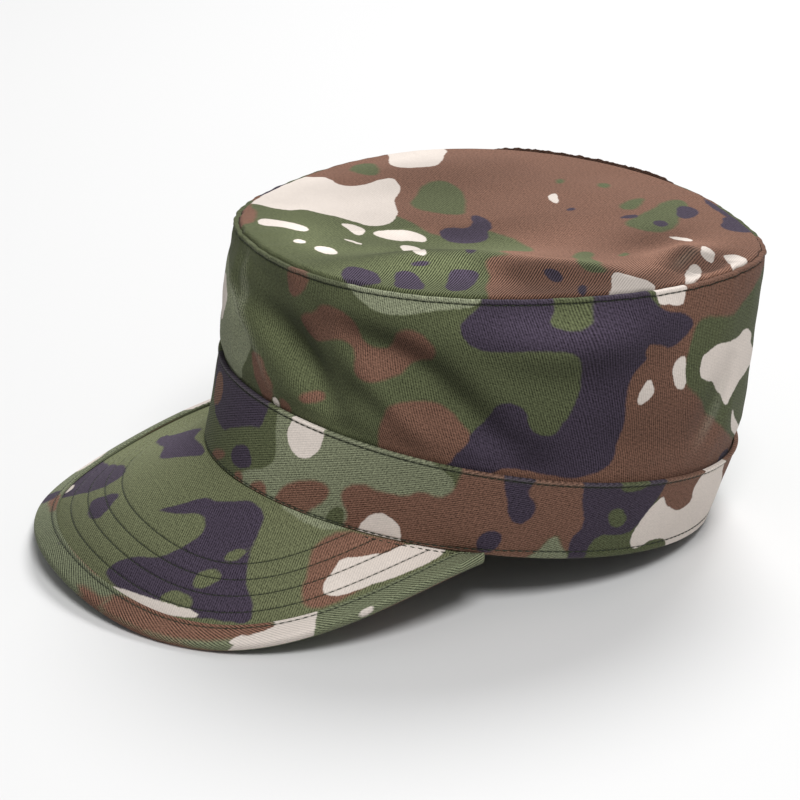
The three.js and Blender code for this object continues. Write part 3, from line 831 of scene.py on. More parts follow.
def on_oval(level, angle):
    """Points of a level, at angles from the front's middle towards the wearer's left."""
    sin = np.sin(angle)
    cos = np.cos(angle)
    power = 2 / np.where(sin > 0, level["left"], level["right"])
    x = level["wide"] * np.sign(sin) * np.abs(sin) ** power
    y = level["back"] - level["long"] * np.sign(cos) * np.abs(cos) ** power
    return np.stack([x, y, height_of(level, y)], -1)


def rim_sway(angle, part):
    """How far the rim strays outwards (part 2) or upwards (part 3)."""
    total = np.zeros(np.shape(angle))
    for sway in RIM_SWAYS:
        away = (np.asarray(angle) / DEGREE - sway[0] + 180) % 360 - 180
        total += sway[part] * np.exp(-((away / sway[1]) ** 2))
    return total


def rim_point(angle):
    """The rim's line, with its sways."""
    point = on_oval(RIM, angle) + outwards(RIM, angle) * rim_sway(angle, 2)[..., None]
    point[..., 2] += rim_sway(angle, 3)
    return point


def outwards(level, angle):
    """The level direction square to an oval, pointing out."""
    along = on_oval(level, angle + DEGREE / 2) - on_oval(level, angle - DEGREE / 2)
    square = np.stack([along[..., 1], -along[..., 0], 0 * along[..., 0]], -1)
    return square / np.linalg.norm(square, axis=-1, keepdims=True)


def between(low, high, share):
    return low * (1 - share)[..., None] + high * share[..., None]


def band_point(angle, share, inset):
    """The band's outer face: share 0 is the hem and share 1 the seam."""
    angle, share, inset = np.broadcast_arrays(angle, share, inset)
    face = between(on_oval(HEM, angle), on_oval(SEAM, angle), share)
    return face - outwards(HEM, angle) * inset[..., None]


def wall_height(angle):
    return rim_point(angle)[..., 2] - on_oval(SEAM, angle)[..., 2]


def wall_relief(around, up):
    """How far the wall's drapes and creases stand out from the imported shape."""
    drapes = crease_sum(WALL_DRAPES, around, up, WALL_LOOP)
    return drapes + crease_sum(WALL_CREASES, around, up, WALL_LOOP)


def top_relief(x, y):
    """How far the top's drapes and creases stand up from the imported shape."""
    return crease_sum(TOP_DRAPES, x, y) + crease_sum(TOP_CREASES, x, y)


def to_camera():
    """The way from the cap to the photograph's camera."""
    azimuth = CAMERA_AZIMUTH * DEGREE
    elevation = CAMERA_ELEVATION * DEGREE
    level = math.cos(elevation)
    return math.sin(azimuth) * level, -math.cos(azimuth) * level, math.sin(elevation)


def sight():
    """The way to the photograph's camera, for the upright crown."""
    x, y, z = to_camera()
    cos = math.cos(LEAN)
    sin = math.sin(LEAN)
    return np.array([x, y * cos - z * sin, y * sin + z * cos])


def wall_point(angle, share, inset):
    """The wall's outer face without its welt: share 0 is the seam and share 1 the rim."""
    angle, share, inset = np.broadcast_arrays(angle, share, inset)
    behind_band = BAND_THICKNESS + GAP
    around = angle * WALL_RADIUS
    up = share * WALL_HEIGHT
    clear = np.maximum(0, share - STEP_START)
    hold = np.minimum(1, np.minimum(clear / FADE_AT_BAND, (1 - share) / FADE_AT_RIM))
    hold = np.maximum(0, hold) ** HOLD_POWER
    folds = fold_sum(WALL_FOLDS, around, up, WALL_LOOP)
    creases = wall_relief(around, up)
    crumpled = crumple(WALL_CRUMPLE, around, up, WALL_LOOP)
    near_rim = ripples(RIM_RIPPLES, around) * np.exp(-((1 - share) * WALL_HEIGHT) / RIM_RIPPLES_REACH)
    near_band = ripples(SEAM_RIPPLES, around) * np.exp(-clear * WALL_HEIGHT / SEAM_RIPPLES_REACH)
    near_band = near_band * np.minimum(1, clear * RIPPLES_START)
    full = WALL_FULLNESS * np.sin(math.pi * np.clip(share, 0, 1))
    tuck = behind_band * (0.5 + 0.5 * np.cos(math.pi * np.minimum(1, clear / STEP_RUN)))
    out = full + (folds + creases + crumpled) * hold + near_rim * (share < 1) + near_band - tuck - inset
    point = between(on_oval(SEAM, angle), rim_point(angle), np.maximum(share, 0))
    point = point + outwards(SEAM, angle) * out[..., None]
    lowered = band_point(angle, 1 + share * wall_height(angle) / SEAM["height"], behind_band + inset)
    return np.where((share < 0)[..., None], lowered, point)


def top_point(angle, reach, drop):
    """The top's sheet: reach 0 is the middle and reach 1 the inside of the wall's welt."""
    angle, reach, drop = np.broadcast_arrays(angle, reach, drop)
    edge = wall_point(angle, np.ones(angle.shape), WELT_THICKNESS + GAP + SHOULDER_INSET)
    x = edge[..., 0] * reach
    y = RIM["back"] + (edge[..., 1] - RIM["back"]) * reach
    hold = 1 - reach**TOP_HOLD
    folds = fold_sum(TOP_FOLDS, x, y) + crumple(TOP_CRUMPLE, x, y)
    near_edge = np.exp(-(1 - reach) * TOP_RADIUS / TOP_PUCKERS_REACH)
    puckers = ripples(TOP_PUCKERS, angle * WALL_RADIUS) * near_edge
    puckers = puckers * np.minimum(1, (1 - reach) * RIPPLES_START)
    up = height_of(RIM, y) + SHOULDER_RISE + folds * hold + puckers
    up = up + rim_sway(angle, 3) * reach**3 + top_relief(x, y) * (1 - reach**DRAPE_HOLD)
    return np.stack([x, y, up - drop], -1)


def visor_edge(turn):
    """The visor's outer edge. The turn runs from -90 degrees at its right end to 90 at its left end."""
    sin = np.sin(turn)
    cos = np.maximum(np.cos(turn), 0)
    half_root = HEM["wide"] * math.sin(VISOR_HALF_ANGLE)
    root_back = -HEM["long"] * math.cos(VISOR_HALF_ANGLE)
    reach = HEM["long"] * (1 - math.cos(VISOR_HALF_ANGLE)) + VISOR_REACH
    power = 2 / VISOR_SQUARENESS
    drop = VISOR_FRONT_DROP * cos**2 + VISOR_CORNER_DROP * sin**2
    x = half_root * (np.sign(sin) * np.abs(sin) ** power + VISOR_FLARE * np.sin(2 * turn))
    return np.stack([x, root_back - reach * cos**power, -drop * cos**VISOR_DROP_POWER], -1)


def visor_root(turn):
    root = on_oval(HEM, VISOR_HALF_ANGLE * turn / (math.pi / 2))
    root[..., 2] = -GAP
    return root


def visor_rulings():
    """The straight lines that the visor's sheet is made of, from right to left."""
    turns = np.linspace(0, math.pi / 2, 900)
    lengths = np.linalg.norm(visor_edge(turns) - visor_root(turns), axis=-1)
    last = turns[np.nonzero(lengths > VISOR_SHORTEST)[0].max()]
    turn = np.linspace(-last, last, VISOR_STATIONS)
    root = visor_root(turn)
    line = visor_edge(turn) - root
    length = np.linalg.norm(line, axis=-1)
    direction = line / length[:, None]
    middles = [(visor_root(turn + step) + visor_edge(turn + step)) / 2 for step in (DEGREE, -DEGREE)]
    up = np.cross(direction, middles[0] - middles[1])
    up /= np.linalg.norm(up, axis=-1, keepdims=True)
    angle = VISOR_HALF_ANGLE * turn / (math.pi / 2)
    return {"turn": turn, "angle": angle, "root": root, "length": length, "direction": direction, "up": up}


def on_ruling(rulings, distance, height):
    """Points of all rulings at distances from the hem and heights over the sheet."""
    return (
        rulings["root"][:, None]
        + rulings["direction"][:, None] * distance[..., None]
        + rulings["up"][:, None] * height[..., None]
    )


def visor_faces(rulings, distance):
    """Heights of the visor's upper and lower face over its rulings."""
    share = np.minimum(1, distance / (rulings["length"][:, None] - BINDING_THICKNESS - GAP))
    upper = VISOR_EDGE_THICKNESS / 2 * share
    return upper, upper - (VISOR_ROOT_THICKNESS + (VISOR_EDGE_THICKNESS - VISOR_ROOT_THICKNESS) * share)


def distances_from_edge(rulings, wanted):
    """Where each ruling stands at given distances square to the visor's edge, measured from the hem."""
    steps = np.linspace(0, 1, 90)
    edge = visor_edge(np.linspace(-math.pi / 2, math.pi / 2, 721))
    rows = np.empty((VISOR_STATIONS, len(wanted)))
    for number in range(VISOR_STATIONS):
        reach = rulings["length"][number] * steps
        points = rulings["root"][number] + rulings["direction"][number] * reach[:, None]
        away = np.linalg.norm(points[:, None] - edge[None], axis=-1).min(1)
        away = np.maximum.accumulate(away[::-1])[::-1]
        rows[number] = np.interp(-np.array(wanted, float), -away, reach)
    return rows


def bump_row(distance, centre, half_width):
    return np.exp(-(((distance - centre) / half_width) ** 2))


def placed(points):
    """Points of the upright crown, leaned back and set where the hem's mount is, in metres."""
    cos = math.cos(LEAN)
    sin = math.sin(LEAN)
    mount_y = HEM["long"] - BAND_THICKNESS / 2
    points = np.asarray(points, float)
    x, y, z = points[..., 0], points[..., 1], points[..., 2]
    leaned = np.stack([x, (y - mount_y) * cos + z * sin, z * cos - (y - mount_y) * sin], -1)
    return leaned * MM + np.array(HEM_MOUNT["pos_m"])


def closed_shell(outer, inner, loop):
    """A shell between two skins: points, faces, corners that go past the loop, sides of faces, and ends."""
    stations, rows = outer.shape[:2]
    outer_ids = np.arange(stations * rows).reshape(stations, rows)
    inner_ids = stations * rows + np.arange(stations * inner.shape[1]).reshape(stations, -1)
    points = np.vstack([outer.reshape(-1, 3), inner.reshape(-1, 3)])
    here = np.arange(stations if loop else stations - 1)
    ahead = (here + 1) % stations
    past = np.broadcast_to((here + 1 >= stations)[:, None], (len(here), 1))

    def quads(a, b, c, d):
        return np.stack([a, b, c, d], -1).reshape(-1, 4)

    def flags(ahead_corners, count):
        wrapped = np.repeat(past, count, axis=1)[..., None] & np.array(ahead_corners, bool)
        return wrapped.reshape(-1, 4)

    o_here, o_ahead = outer_ids[here], outer_ids[ahead]
    i_here, i_ahead = inner_ids[here], inner_ids[ahead]
    out_face = quads(o_here[:, :-1], o_ahead[:, :-1], o_ahead[:, 1:], o_here[:, 1:])
    in_face = quads(i_ahead[:, 1:], i_ahead[:, :-1], i_here[:, :-1], i_here[:, 1:])
    low_rim = quads(i_here[:, :1], i_ahead[:, :1], o_ahead[:, :1], o_here[:, :1])
    high_rim = quads(o_here[:, -1:], o_ahead[:, -1:], i_ahead[:, -1:], i_here[:, -1:])
    groups = [
        (out_face, (0, 1, 1, 0), rows - 1, 0),
        (in_face, (1, 1, 0, 0), inner.shape[1] - 1, 1),
        (low_rim, (0, 1, 1, 0), 1, 0),
        (high_rim, (0, 1, 1, 0), 1, 0),
    ]
    faces = np.vstack([group[0] for group in groups])
    wraps = np.vstack([flags(group[1], group[2]) for group in groups])
    sides = np.concatenate([np.full(len(group[0]), group[3]) for group in groups])
    ends = []
    if not loop:
        ends.append(np.concatenate([outer_ids[0], inner_ids[0][::-1]]))
        ends.append(np.concatenate([outer_ids[-1], inner_ids[-1][::-1]])[::-1])
    return points, faces, wraps, sides, ends


def put_piece(name, mesh, materials):
    """A mesh with its materials, as an object in the scene."""
    for material in materials:
        mesh.materials.append(material)
    piece = bpy.data.objects.new(name, mesh)
    bpy.context.scene.collection.objects.link(piece)
    return piece


def put_values(mesh, name, values):
    """A number for each point of a mesh, for its material to read."""
    field = mesh.attributes.new(name, "FLOAT", "POINT")
    field.data.foreach_set("value", values.astype(np.float32))


def sewn_piece(name, outer, inner, charts, materials, prints, seam, wear_and_highlight=None, goes_round=True, loop=0.0,
               spots=None, rib_shading=None, fade_and_painted_light=None):
    """A closed cloth piece with chart places, print coats, stitch lines, rubbed places and painted light and
    shade as attributes.

    The charts are where the weave lies. The spots are where the print lies, if it was charted differently.
    """
    chart_outer, chart_inner = charts
    points, faces, wraps, sides, ends = closed_shell(outer, inner, goes_round)
    chart = np.vstack([chart_outer.reshape(-1, 2), chart_inner.reshape(-1, 2)])
    _, first, same = np.unique(np.round(points, 3), axis=0, return_index=True, return_inverse=True)
    same = same.reshape(-1)
    corners = []
    corner_chart = []
    face_sides = []
    for face, wrap, side in zip(faces, wraps, sides):
        kept = [n for n in range(4) if same[face[n]] != same[face[n - 1]]]
        if len(kept) < 3 or len({int(same[face[n]]) for n in kept}) < len(kept):
            continue
        corners.append([int(same[face[n]]) for n in kept])
        corner_chart.extend((chart[face[n], 0] + loop * wrap[n], chart[face[n], 1]) for n in kept)
        face_sides.append(int(side))
    for end in ends:
        ids = [int(same[n]) for n in end]
        kept = [n for n in range(len(ids)) if ids[n] != ids[n - 1]]
        corners.append([ids[n] for n in kept])
        corner_chart.extend(tuple(chart[end[n]]) for n in kept)
        face_sides.append(0)
    mesh = bpy.data.meshes.new(name)
    mesh.from_pydata(placed(points[first]).tolist(), [], corners)
    mesh.polygons.foreach_set("material_index", face_sides)
    mesh.polygons.foreach_set("use_smooth", [True] * len(mesh.polygons))
    mesh.update()
    mesh.set_sharp_from_angle(angle=SHARP_ANGLE * DEGREE)
    spots = (np.vstack([part.reshape(-1, 2) for part in spots]) if spots else chart)[first]
    flat = chart[first]
    cloth = mesh.attributes.new("cloth", "FLOAT_VECTOR", "CORNER")
    places = np.zeros((len(corner_chart), 3), np.float32)
    places[:, :2] = corner_chart
    cloth.data.foreach_set("vector", places.ravel())
    for coat in COATS:
        put_values(mesh, "coat_" + coat, coat_depth(spots[:, 0], spots[:, 1], prints.get(coat, {}), loop))
    # Stitch lines, which carry painted shade along their grooves
    lines = np.concatenate([seam.ravel(), np.zeros(inner.shape[0] * inner.shape[1])])
    put_values(mesh, "seam", lines[first])
    # Wear, with painted highlight along the creases
    put_values(mesh, "wear_and_highlight", wear_and_highlight(spots[:, 0], spots[:, 1]) if wear_and_highlight else np.zeros(len(first)))
    # Painted light and shade, a number for each point
    put_values(mesh, "fade_and_painted_light", fade_and_painted_light(flat[:, 0], flat[:, 1]) if fade_and_painted_light else np.zeros(len(first)))
    # How strongly the ribs and their painted shade show
    put_values(mesh, "rib_shading", rib_shading(flat[:, 0], flat[:, 1]) if rib_shading else np.ones(len(first)))
    return put_piece(name, mesh, materials)


def stitch_line(path, normal, length, gap, thickness):
    """Points and faces of a row of thread stitches along a path, each a bead that dips into the cloth."""
    steps = np.linalg.norm(np.diff(path, axis=0), axis=-1)
    reach = np.concatenate([[0], np.cumsum(steps)])

    def along_row(values, at):
        return np.array([np.interp(at, reach, values[:, axis]) for axis in range(3)])

    count = int(reach[-1] // (length + gap))
    points = []
    faces = []
    sides = STITCH_SIDES
    for number in range(count):
        start = number * (length + gap)
        base = len(points)
        for share, lift, girth in STITCH_RINGS:
            at = start + share * length
            centre = along_row(path, at)
            up = along_row(normal, at)
            along = along_row(path, at + STITCH_STEP) - along_row(path, at - STITCH_STEP)
            side = np.cross(along, up)
            side /= np.linalg.norm(side)
            up = np.cross(side, along)
            up /= np.linalg.norm(up)
            middle = centre + up * (lift * thickness / 2 - STITCH_SINK)
            for corner in range(sides):
                turn = 2 * math.pi * corner / sides
                points.append(middle + girth * thickness / 2 * (math.cos(turn) * side + math.sin(turn) * up))
        for ring in range(len(STITCH_RINGS) - 1):
            for corner in range(sides):
                here = base + ring * sides + corner
                beside = base + ring * sides + (corner + 1) % sides
                faces.append([here, beside, beside + sides, here + sides])
        faces.append([base + corner for corner in reversed(range(sides))])
        faces.append([base + (len(STITCH_RINGS) - 1) * sides + corner for corner in range(sides)])
    return points, faces


def stitching_piece(name, rows, material):
    """One piece of all the stitch rows given, each a path with its normals."""
    sizes = bpy.context.scene.cap_sizes
    length, gap, thickness = sizes.stitch_length / MM, sizes.stitch_gap / MM, sizes.thread_thickness / MM
    points = []
    faces = []
    for path, normal in rows:
        more_points, more_faces = stitch_line(path, normal, length, gap, thickness)
        faces.extend([[corner + len(points) for corner in face] for face in more_faces])
        points.extend(more_points)
    mesh = bpy.data.meshes.new(name)
    mesh.from_pydata(placed(np.array(points)).tolist(), [], faces)
    mesh.polygons.foreach_set("use_smooth", [True] * len(mesh.polygons))
    return put_piece(name, mesh, [material])


def dress(piece, slot, *nodes):
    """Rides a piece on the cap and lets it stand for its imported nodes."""
    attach(piece, "root")
    if nodes:
        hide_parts(*nodes)


def new_group(name, inputs, outputs):
    """An empty shader node group with named sockets, and its input and output nodes."""
    group = bpy.data.node_groups.new(name, "ShaderNodeTree")
    for label, kind, value in inputs:
        socket = group.interface.new_socket(label, in_out="INPUT", socket_type="NodeSocket" + kind)
        if value is not None:
            socket.default_value = value
    for label, kind in outputs:
        group.interface.new_socket(label, in_out="OUTPUT", socket_type="NodeSocket" + kind)
    return group, group.nodes.new("NodeGroupInput"), group.nodes.new("NodeGroupOutput")


def calc(tree, operation, *values):
    """The result of a Math node; a value is a number or another node's socket."""
    node = tree.nodes.new("ShaderNodeMath")
    node.operation = operation
    for number, value in enumerate(values):
        if isinstance(value, (int, float)):
            node.inputs[number].default_value = value
        else:
            tree.links.new(value, node.inputs[number])
    return node.outputs[0]


def blend_colours(tree, mode, factor, low, high):
    """The colour of a Mix node."""
    node = tree.nodes.new("ShaderNodeMix")
    node.data_type = "RGBA"
    node.blend_type = mode
    for socket, value in ((node.inputs["Factor"], factor), (node.inputs[6], low), (node.inputs[7], high)):
        if isinstance(value, (int, float)):
            socket.default_value = value
        elif isinstance(value, tuple):
            socket.default_value = value
        else:
            tree.links.new(value, socket)
    return node.outputs[2]


def noise(tree, vector, scale, detail=2.0, roughness=0.5):
    """Noise around 0.5 over a vector in millimetres, with features 1 / scale apart."""
    node = tree.nodes.new("ShaderNodeTexNoise")
    node.inputs["Scale"].default_value = scale
    node.inputs["Detail"].default_value = detail
    node.inputs["Roughness"].default_value = roughness
    tree.links.new(vector, node.inputs["Vector"])
    return node.outputs["Fac"]


def centred_noise(tree, vector, kind):
    """Noise around 0, from a kind's features in each millimetre, detail and amount."""
    scale, detail, amount = kind
    return calc(tree, "MULTIPLY", calc(tree, "SUBTRACT", noise(tree, vector, scale, detail), 0.5), amount)


def camouflage_group():
    """Five coats of print over a ground colour, with soft wavering edges, and where the palest coat lies."""
    inputs = [("Cloth", "Vector", None), ("Waver", "Float", 1.0), ("Edge", "Float", 0.35)]
    inputs += [("Ground", "Color", (1, 1, 1, 1))]
    for coat in COATS:
        inputs += [(coat.capitalize() + " depth", "Float", -20.0), (coat.capitalize(), "Color", (1, 1, 1, 1))]
    outputs = [("Color", "Color"), ("Cream cover", "Float")]
    group, given, result = new_group("Camouflage print", inputs, outputs)
    colour = given.outputs["Ground"]
    for number, coat in enumerate(COATS):
        shifted = group.nodes.new("ShaderNodeVectorMath")
        shifted.operation = "ADD"
        shifted.inputs[1].default_value = (0, 0, COAT_NOISE_STEP * number + COAT_NOISE_START)
        group.links.new(given.outputs["Cloth"], shifted.inputs[0])
        slow = centred_noise(group, shifted.outputs[0], SLOW_WAVER)
        quick = centred_noise(group, shifted.outputs[0], QUICK_WAVER)
        sway = calc(group, "ADD", slow, quick)
        sway = calc(group, "MULTIPLY", sway, given.outputs["Waver"])
        depth = calc(group, "ADD", given.outputs[coat.capitalize() + " depth"], sway)
        edge = calc(group, "MULTIPLY", given.outputs["Edge"], COAT_SOFTNESS[coat])
        ramp = calc(group, "ADD", calc(group, "DIVIDE", depth, edge), 0.5)
        cover = calc(group, "SMOOTH_MIN", calc(group, "SMOOTH_MAX", ramp, 0.0, 0.25), 1.0, 0.25)
        colour = blend_colours(group, "MIX", cover, colour, given.outputs[coat.capitalize()])
    group.links.new(cover, result.inputs["Cream cover"])
    group.links.new(colour, result.inputs["Color"])
    return group


def twill_group():
    """The diagonal ribs of twill, with uneven yarns: a height from 0 to 1 and a shade around 1."""
    inputs = [("Cloth", "Vector", None), ("Pitch", "Float", 0.8), ("Slant", "Float", 0.9)]
    inputs += [(part, "Float", 1.0) for part in ("Depth", "Ribs", "Grain")]
    inputs += [("Calm", "Float", 0.0)]
    group, given, result = new_group("Twill weave", inputs, [("Height", "Float"), ("Shade", "Float")])
    parts = group.nodes.new("ShaderNodeSeparateXYZ")
    cloth = given.outputs["Cloth"]
    group.links.new(cloth, parts.inputs[0])
    cos = calc(group, "COSINE", given.outputs["Slant"])
    sin = calc(group, "SINE", given.outputs["Slant"])
    x, y = parts.outputs["X"], parts.outputs["Y"]
    across = calc(group, "ADD", calc(group, "MULTIPLY", x, cos), calc(group, "MULTIPLY", y, sin))
    along = calc(group, "SUBTRACT", calc(group, "MULTIPLY", y, cos), calc(group, "MULTIPLY", x, sin))
    drift = centred_noise(group, cloth, RIB_DRIFT)
    turns = calc(group, "MULTIPLY", calc(group, "DIVIDE", across, given.outputs["Pitch"]), 2 * math.pi)
    rib = calc(group, "SINE", calc(group, "ADD", turns, drift))
    floats = calc(group, "MULTIPLY", calc(group, "DIVIDE", along, given.outputs["Pitch"]), 2 * math.pi * 0.8)
    yarn = calc(group, "SINE", calc(group, "ADD", floats, calc(group, "MULTIPLY", turns, 0.5)))
    speck = calc(group, "SUBTRACT", noise(group, cloth, 1.15, 2.0, 0.7), 0.5)
    patchy = calc(group, "ADD", calc(group, "MULTIPLY", noise(group, cloth, 0.16, 2.0), 1.6), -FAINTEST_RIB)
    rib = calc(group, "MULTIPLY", rib, calc(group, "MAXIMUM", patchy, FAINTEST_RIB))
    rib = calc(group, "MULTIPLY", rib, given.outputs["Ribs"])
    yarn = calc(group, "MULTIPLY", yarn, YARN_SHARE)
    weave = calc(group, "ADD", calc(group, "MULTIPLY", rib, RIB_SHARE), yarn)
    weave = calc(group, "ADD", weave, calc(group, "MULTIPLY", speck, given.outputs["Grain"]))
    loud = calc(group, "SUBTRACT", 1.0, calc(group, "MULTIPLY", given.outputs["Calm"], CALMED))
    weave = calc(group, "MULTIPLY", weave, loud)
    group.links.new(calc(group, "ADD", weave, 0.5), result.inputs["Height"])
    tone = calc(group, "ADD", calc(group, "MULTIPLY", weave, given.outputs["Depth"]), 1.0)
    group.links.new(calc(group, "MAXIMUM", tone, 0.2), result.inputs["Shade"])
    return group


def wear_and_highlight_group():
    """Paler rubbed cloth with painted highlight along creases, and a slow unevenness of the dye."""
    inputs = [("Cloth", "Vector", None), ("Wear", "Float", 0.0), ("Amount", "Float", 0.4)]
    group, given, result = new_group("Worn cloth and highlights", inputs, [("Mask", "Float"), ("Fade", "Float")])
    fuzz = calc(group, "ADD", noise(group, given.outputs["Cloth"], 0.8, 3.0), 0.4)
    mask = calc(group, "MULTIPLY", given.outputs["Wear"], fuzz)
    mask = calc(group, "MULTIPLY", mask, given.outputs["Amount"])
    group.links.new(calc(group, "MINIMUM", calc(group, "MAXIMUM", mask, 0.0), 1.0), result.inputs["Mask"])
    slow = calc(group, "SUBTRACT", noise(group, given.outputs["Cloth"], 0.045, 3.0, 0.6), 0.5)
    group.links.new(calc(group, "ADD", calc(group, "MULTIPLY", slow, DYE_DRIFT), 1.0), result.inputs["Fade"])
    return group


def shared_group(name, make):
    return bpy.data.node_groups.get(name) or make()


def place_group(tree, group, **values):
    node = tree.nodes.new("ShaderNodeGroup")
    node.node_tree = group
    for label, value in values.items():
        socket = node.inputs[label.replace("_", " ")]
        if isinstance(value, (int, float, tuple)):
            socket.default_value = value
        else:
            tree.links.new(value, socket)
    return node


def attribute(tree, name):
    node = tree.nodes.new("ShaderNodeAttribute")
    node.attribute_name = name
    return node


def cloth_base(name, roughness):
    """A material with its Principled shader, ready for cloth."""
    material = bpy.data.materials.new(name)
    material.use_nodes = True
    shader = material.node_tree.nodes["Principled BSDF"]
    shader.inputs["Roughness"].default_value = roughness
    shader.inputs["Specular IOR Level"].default_value = 0.1
    shader.inputs["Sheen Weight"].default_value = 0.04
    shader.inputs["Sheen Roughness"].default_value = 0.4
    return material, material.node_tree, shader


def rgba(colour):
    return (*colour, 1.0)


def finish_cloth(tree, shader, colour, cloth, slant, tone=1.0, ribs=1.0, grain=1.0, calm=0.0):
    """Twill, rubbing, and the painted light and shade of tone, folds, creases and stitch lines over a cloth's
    colour.
    """
    sizes = bpy.context.scene.cap_sizes
    # Wear, with painted highlight along the creases
    worn_and_highlight_places = attribute(tree, "wear_and_highlight").outputs["Fac"]
    wear_and_highlight = place_group(tree, shared_group("Worn cloth and highlights", wear_and_highlight_group), Cloth=cloth, Wear=worn_and_highlight_places)
    twill = place_group(
        tree,
        shared_group("Twill weave", twill_group),
        Cloth=cloth,
        Pitch=sizes.twill_pitch / MM,
        Slant=slant * DEGREE,
        Depth=sizes.twill_shade,
        Ribs=calc(tree, "MULTIPLY", attribute(tree, "rib_shading").outputs["Fac"], ribs),
        Grain=sizes.twill_grain * grain,
        Calm=calm,
    )
    worn_and_painted_light = blend_colours(tree, "MIX", wear_and_highlight.outputs["Mask"], colour, WORN_AND_HIGHLIGHT_COLOUR)
    # Painted shade along the stitch grooves, mixed towards the thread's colour
    stitch_groove_shade = calc(tree, "MULTIPLY", attribute(tree, "seam").outputs["Fac"], STITCH_GROOVE_SHADE_AMOUNT)
    worn_and_painted_light = blend_colours(tree, "MIX", stitch_groove_shade, worn_and_painted_light, rgba(bpy.context.scene.cap_colours.thread))
    shade = calc(tree, "MULTIPLY", twill.outputs["Shade"], wear_and_highlight.outputs["Fade"])
    # Painted light and shade of the folds and patches lighten and darken the colour
    fade_and_painted_light = calc(tree, "MULTIPLY", attribute(tree, "fade_and_painted_light").outputs["Fac"], sizes.fold_painted_light)
    shade = calc(tree, "MULTIPLY", shade, calc(tree, "ADD", fade_and_painted_light, 1.0))
    # A tone below 1 is painted shade that leaves cream print alone
    toned = calc(tree, "ADD", calc(tree, "MULTIPLY", calc(tree, "SUBTRACT", 1.0, calm), tone - 1), 1.0)
    shade = calc(tree, "MULTIPLY", shade, toned)
    grey = tree.nodes.new("ShaderNodeCombineColor")
    for channel in ("Red", "Green", "Blue"):
        tree.links.new(shade, grey.inputs[channel])
    tree.links.new(blend_colours(tree, "MULTIPLY", 1.0, worn_and_painted_light, grey.outputs[0]), shader.inputs["Base Color"])
    bump = tree.nodes.new("ShaderNodeBump")
    bump.inputs["Strength"].default_value = 0.9
    bump.inputs["Distance"].default_value = sizes.twill_depth
    tree.links.new(twill.outputs["Height"], bump.inputs["Height"])
    tree.links.new(bump.outputs["Normal"], shader.inputs["Normal"])


def print_material(name, ground, slant, tone=1.0, ribs=1.0, grain=1.0, pale="pale"):
    """Camouflage twill over one ground colour, its ribs at one slant."""
    existing = bpy.data.materials.get(name)
    if existing:
        return existing
    colours = bpy.context.scene.cap_colours
    sizes = bpy.context.scene.cap_sizes
    material, tree, shader = cloth_base(name, 0.88)
    cloth = attribute(tree, "cloth").outputs["Vector"]
    values = {"Cloth": cloth, "Waver": sizes.print_waver / MM, "Edge": sizes.print_edge / MM}
    values["Ground"] = rgba(getattr(colours, ground))
    for coat in COATS:
        values[coat.capitalize() + "_depth"] = attribute(tree, "coat_" + coat).outputs["Fac"]
        values[coat.capitalize()] = rgba(getattr(colours, pale if coat == "pale" else coat))
    camouflage = place_group(tree, shared_group("Camouflage print", camouflage_group), **values)
    calm = camouflage.outputs["Cream cover"]
    finish_cloth(tree, shader, camouflage.outputs["Color"], cloth, slant, tone, ribs, grain, calm)
    return material


def plain_material(name, colour):
    """Unprinted cloth of one colour with slow paler patches."""
    existing = bpy.data.materials.get(name)
    if existing:
        return existing
    material, tree, shader = cloth_base(name, 0.92)
    cloth = attribute(tree, "cloth").outputs["Vector"]
    patches = noise(tree, cloth, 0.03, 3.0)
    base = getattr(bpy.context.scene.cap_colours, colour)
    fade_and_painted_light = tuple(min(1.0, channel * 1.35) for channel in base)
    colour = blend_colours(tree, "MIX", patches, rgba(base), rgba(fade_and_painted_light))
    finish_cloth(tree, shader, colour, cloth, PLAIN_SLANT)
    return material


def thread_material():
    """Black-green polyester thread."""
    existing = bpy.data.materials.get("Dark thread")
    if existing:
        return existing
    material = bpy.data.materials.new("Dark thread")
    material.use_nodes = True
    tree = material.node_tree
    shader = tree.nodes["Principled BSDF"]
    place = tree.nodes.new("ShaderNodeTexCoord").outputs["Object"]
    fibre = noise(tree, place, 2500.0, 2.0)
    thread = bpy.context.scene.cap_colours.thread
    light = tuple(min(1.0, channel * 2.2) for channel in thread)
    tree.links.new(blend_colours(tree, "MIX", fibre, rgba(thread), rgba(light)), shader.inputs["Base Color"])
    shader.inputs["Roughness"].default_value = 0.6
    shader.inputs["Specular IOR Level"].default_value = 0.3
    bump = tree.nodes.new("ShaderNodeBump")
    bump.inputs["Distance"].default_value = 0.00005
    tree.links.new(fibre, bump.inputs["Height"])
    tree.links.new(bump.outputs["Normal"], shader.inputs["Normal"])
    return material


def crown_angles():
    return (np.arange(STATIONS) * 2 * math.pi / STATIONS - math.pi)[:, None]


def wall_rows(angle):
    """Shares of the wall's height for its rows, and how far its outer face stands out at each."""
    height = wall_height(angle)
    low = np.array(WALL_LOW_ROWS)[None]
    depths = np.array(WALL_RIM_ROWS)[None]
    middle = np.linspace(0, 1, WALL_MIDDLE_ROWS)[None]
    middle = WALL_MIDDLE_FROM / height * (1 - middle) + (1 - WALL_MIDDLE_TO / height) * middle
    shares = np.hstack([low / height, middle, 1 - depths / height])
    depth = (1 - shares) * height
    round_part = np.clip(1 - ((depth - WELT_HEIGHT / 2) / (WELT_HEIGHT / 2)) ** 2, 0, 1) ** 0.5
    welt = WELT_PROUD * round_part * (depth <= WELT_HEIGHT)
    line = bump_row(depth, RIM_STITCH_DEPTH, SEAM_HALF_WIDTH)
    top_round = np.where(depth < 0.03, 0.3, 0.0)
    return shares, welt - WELT_GROOVE * line - top_round, line


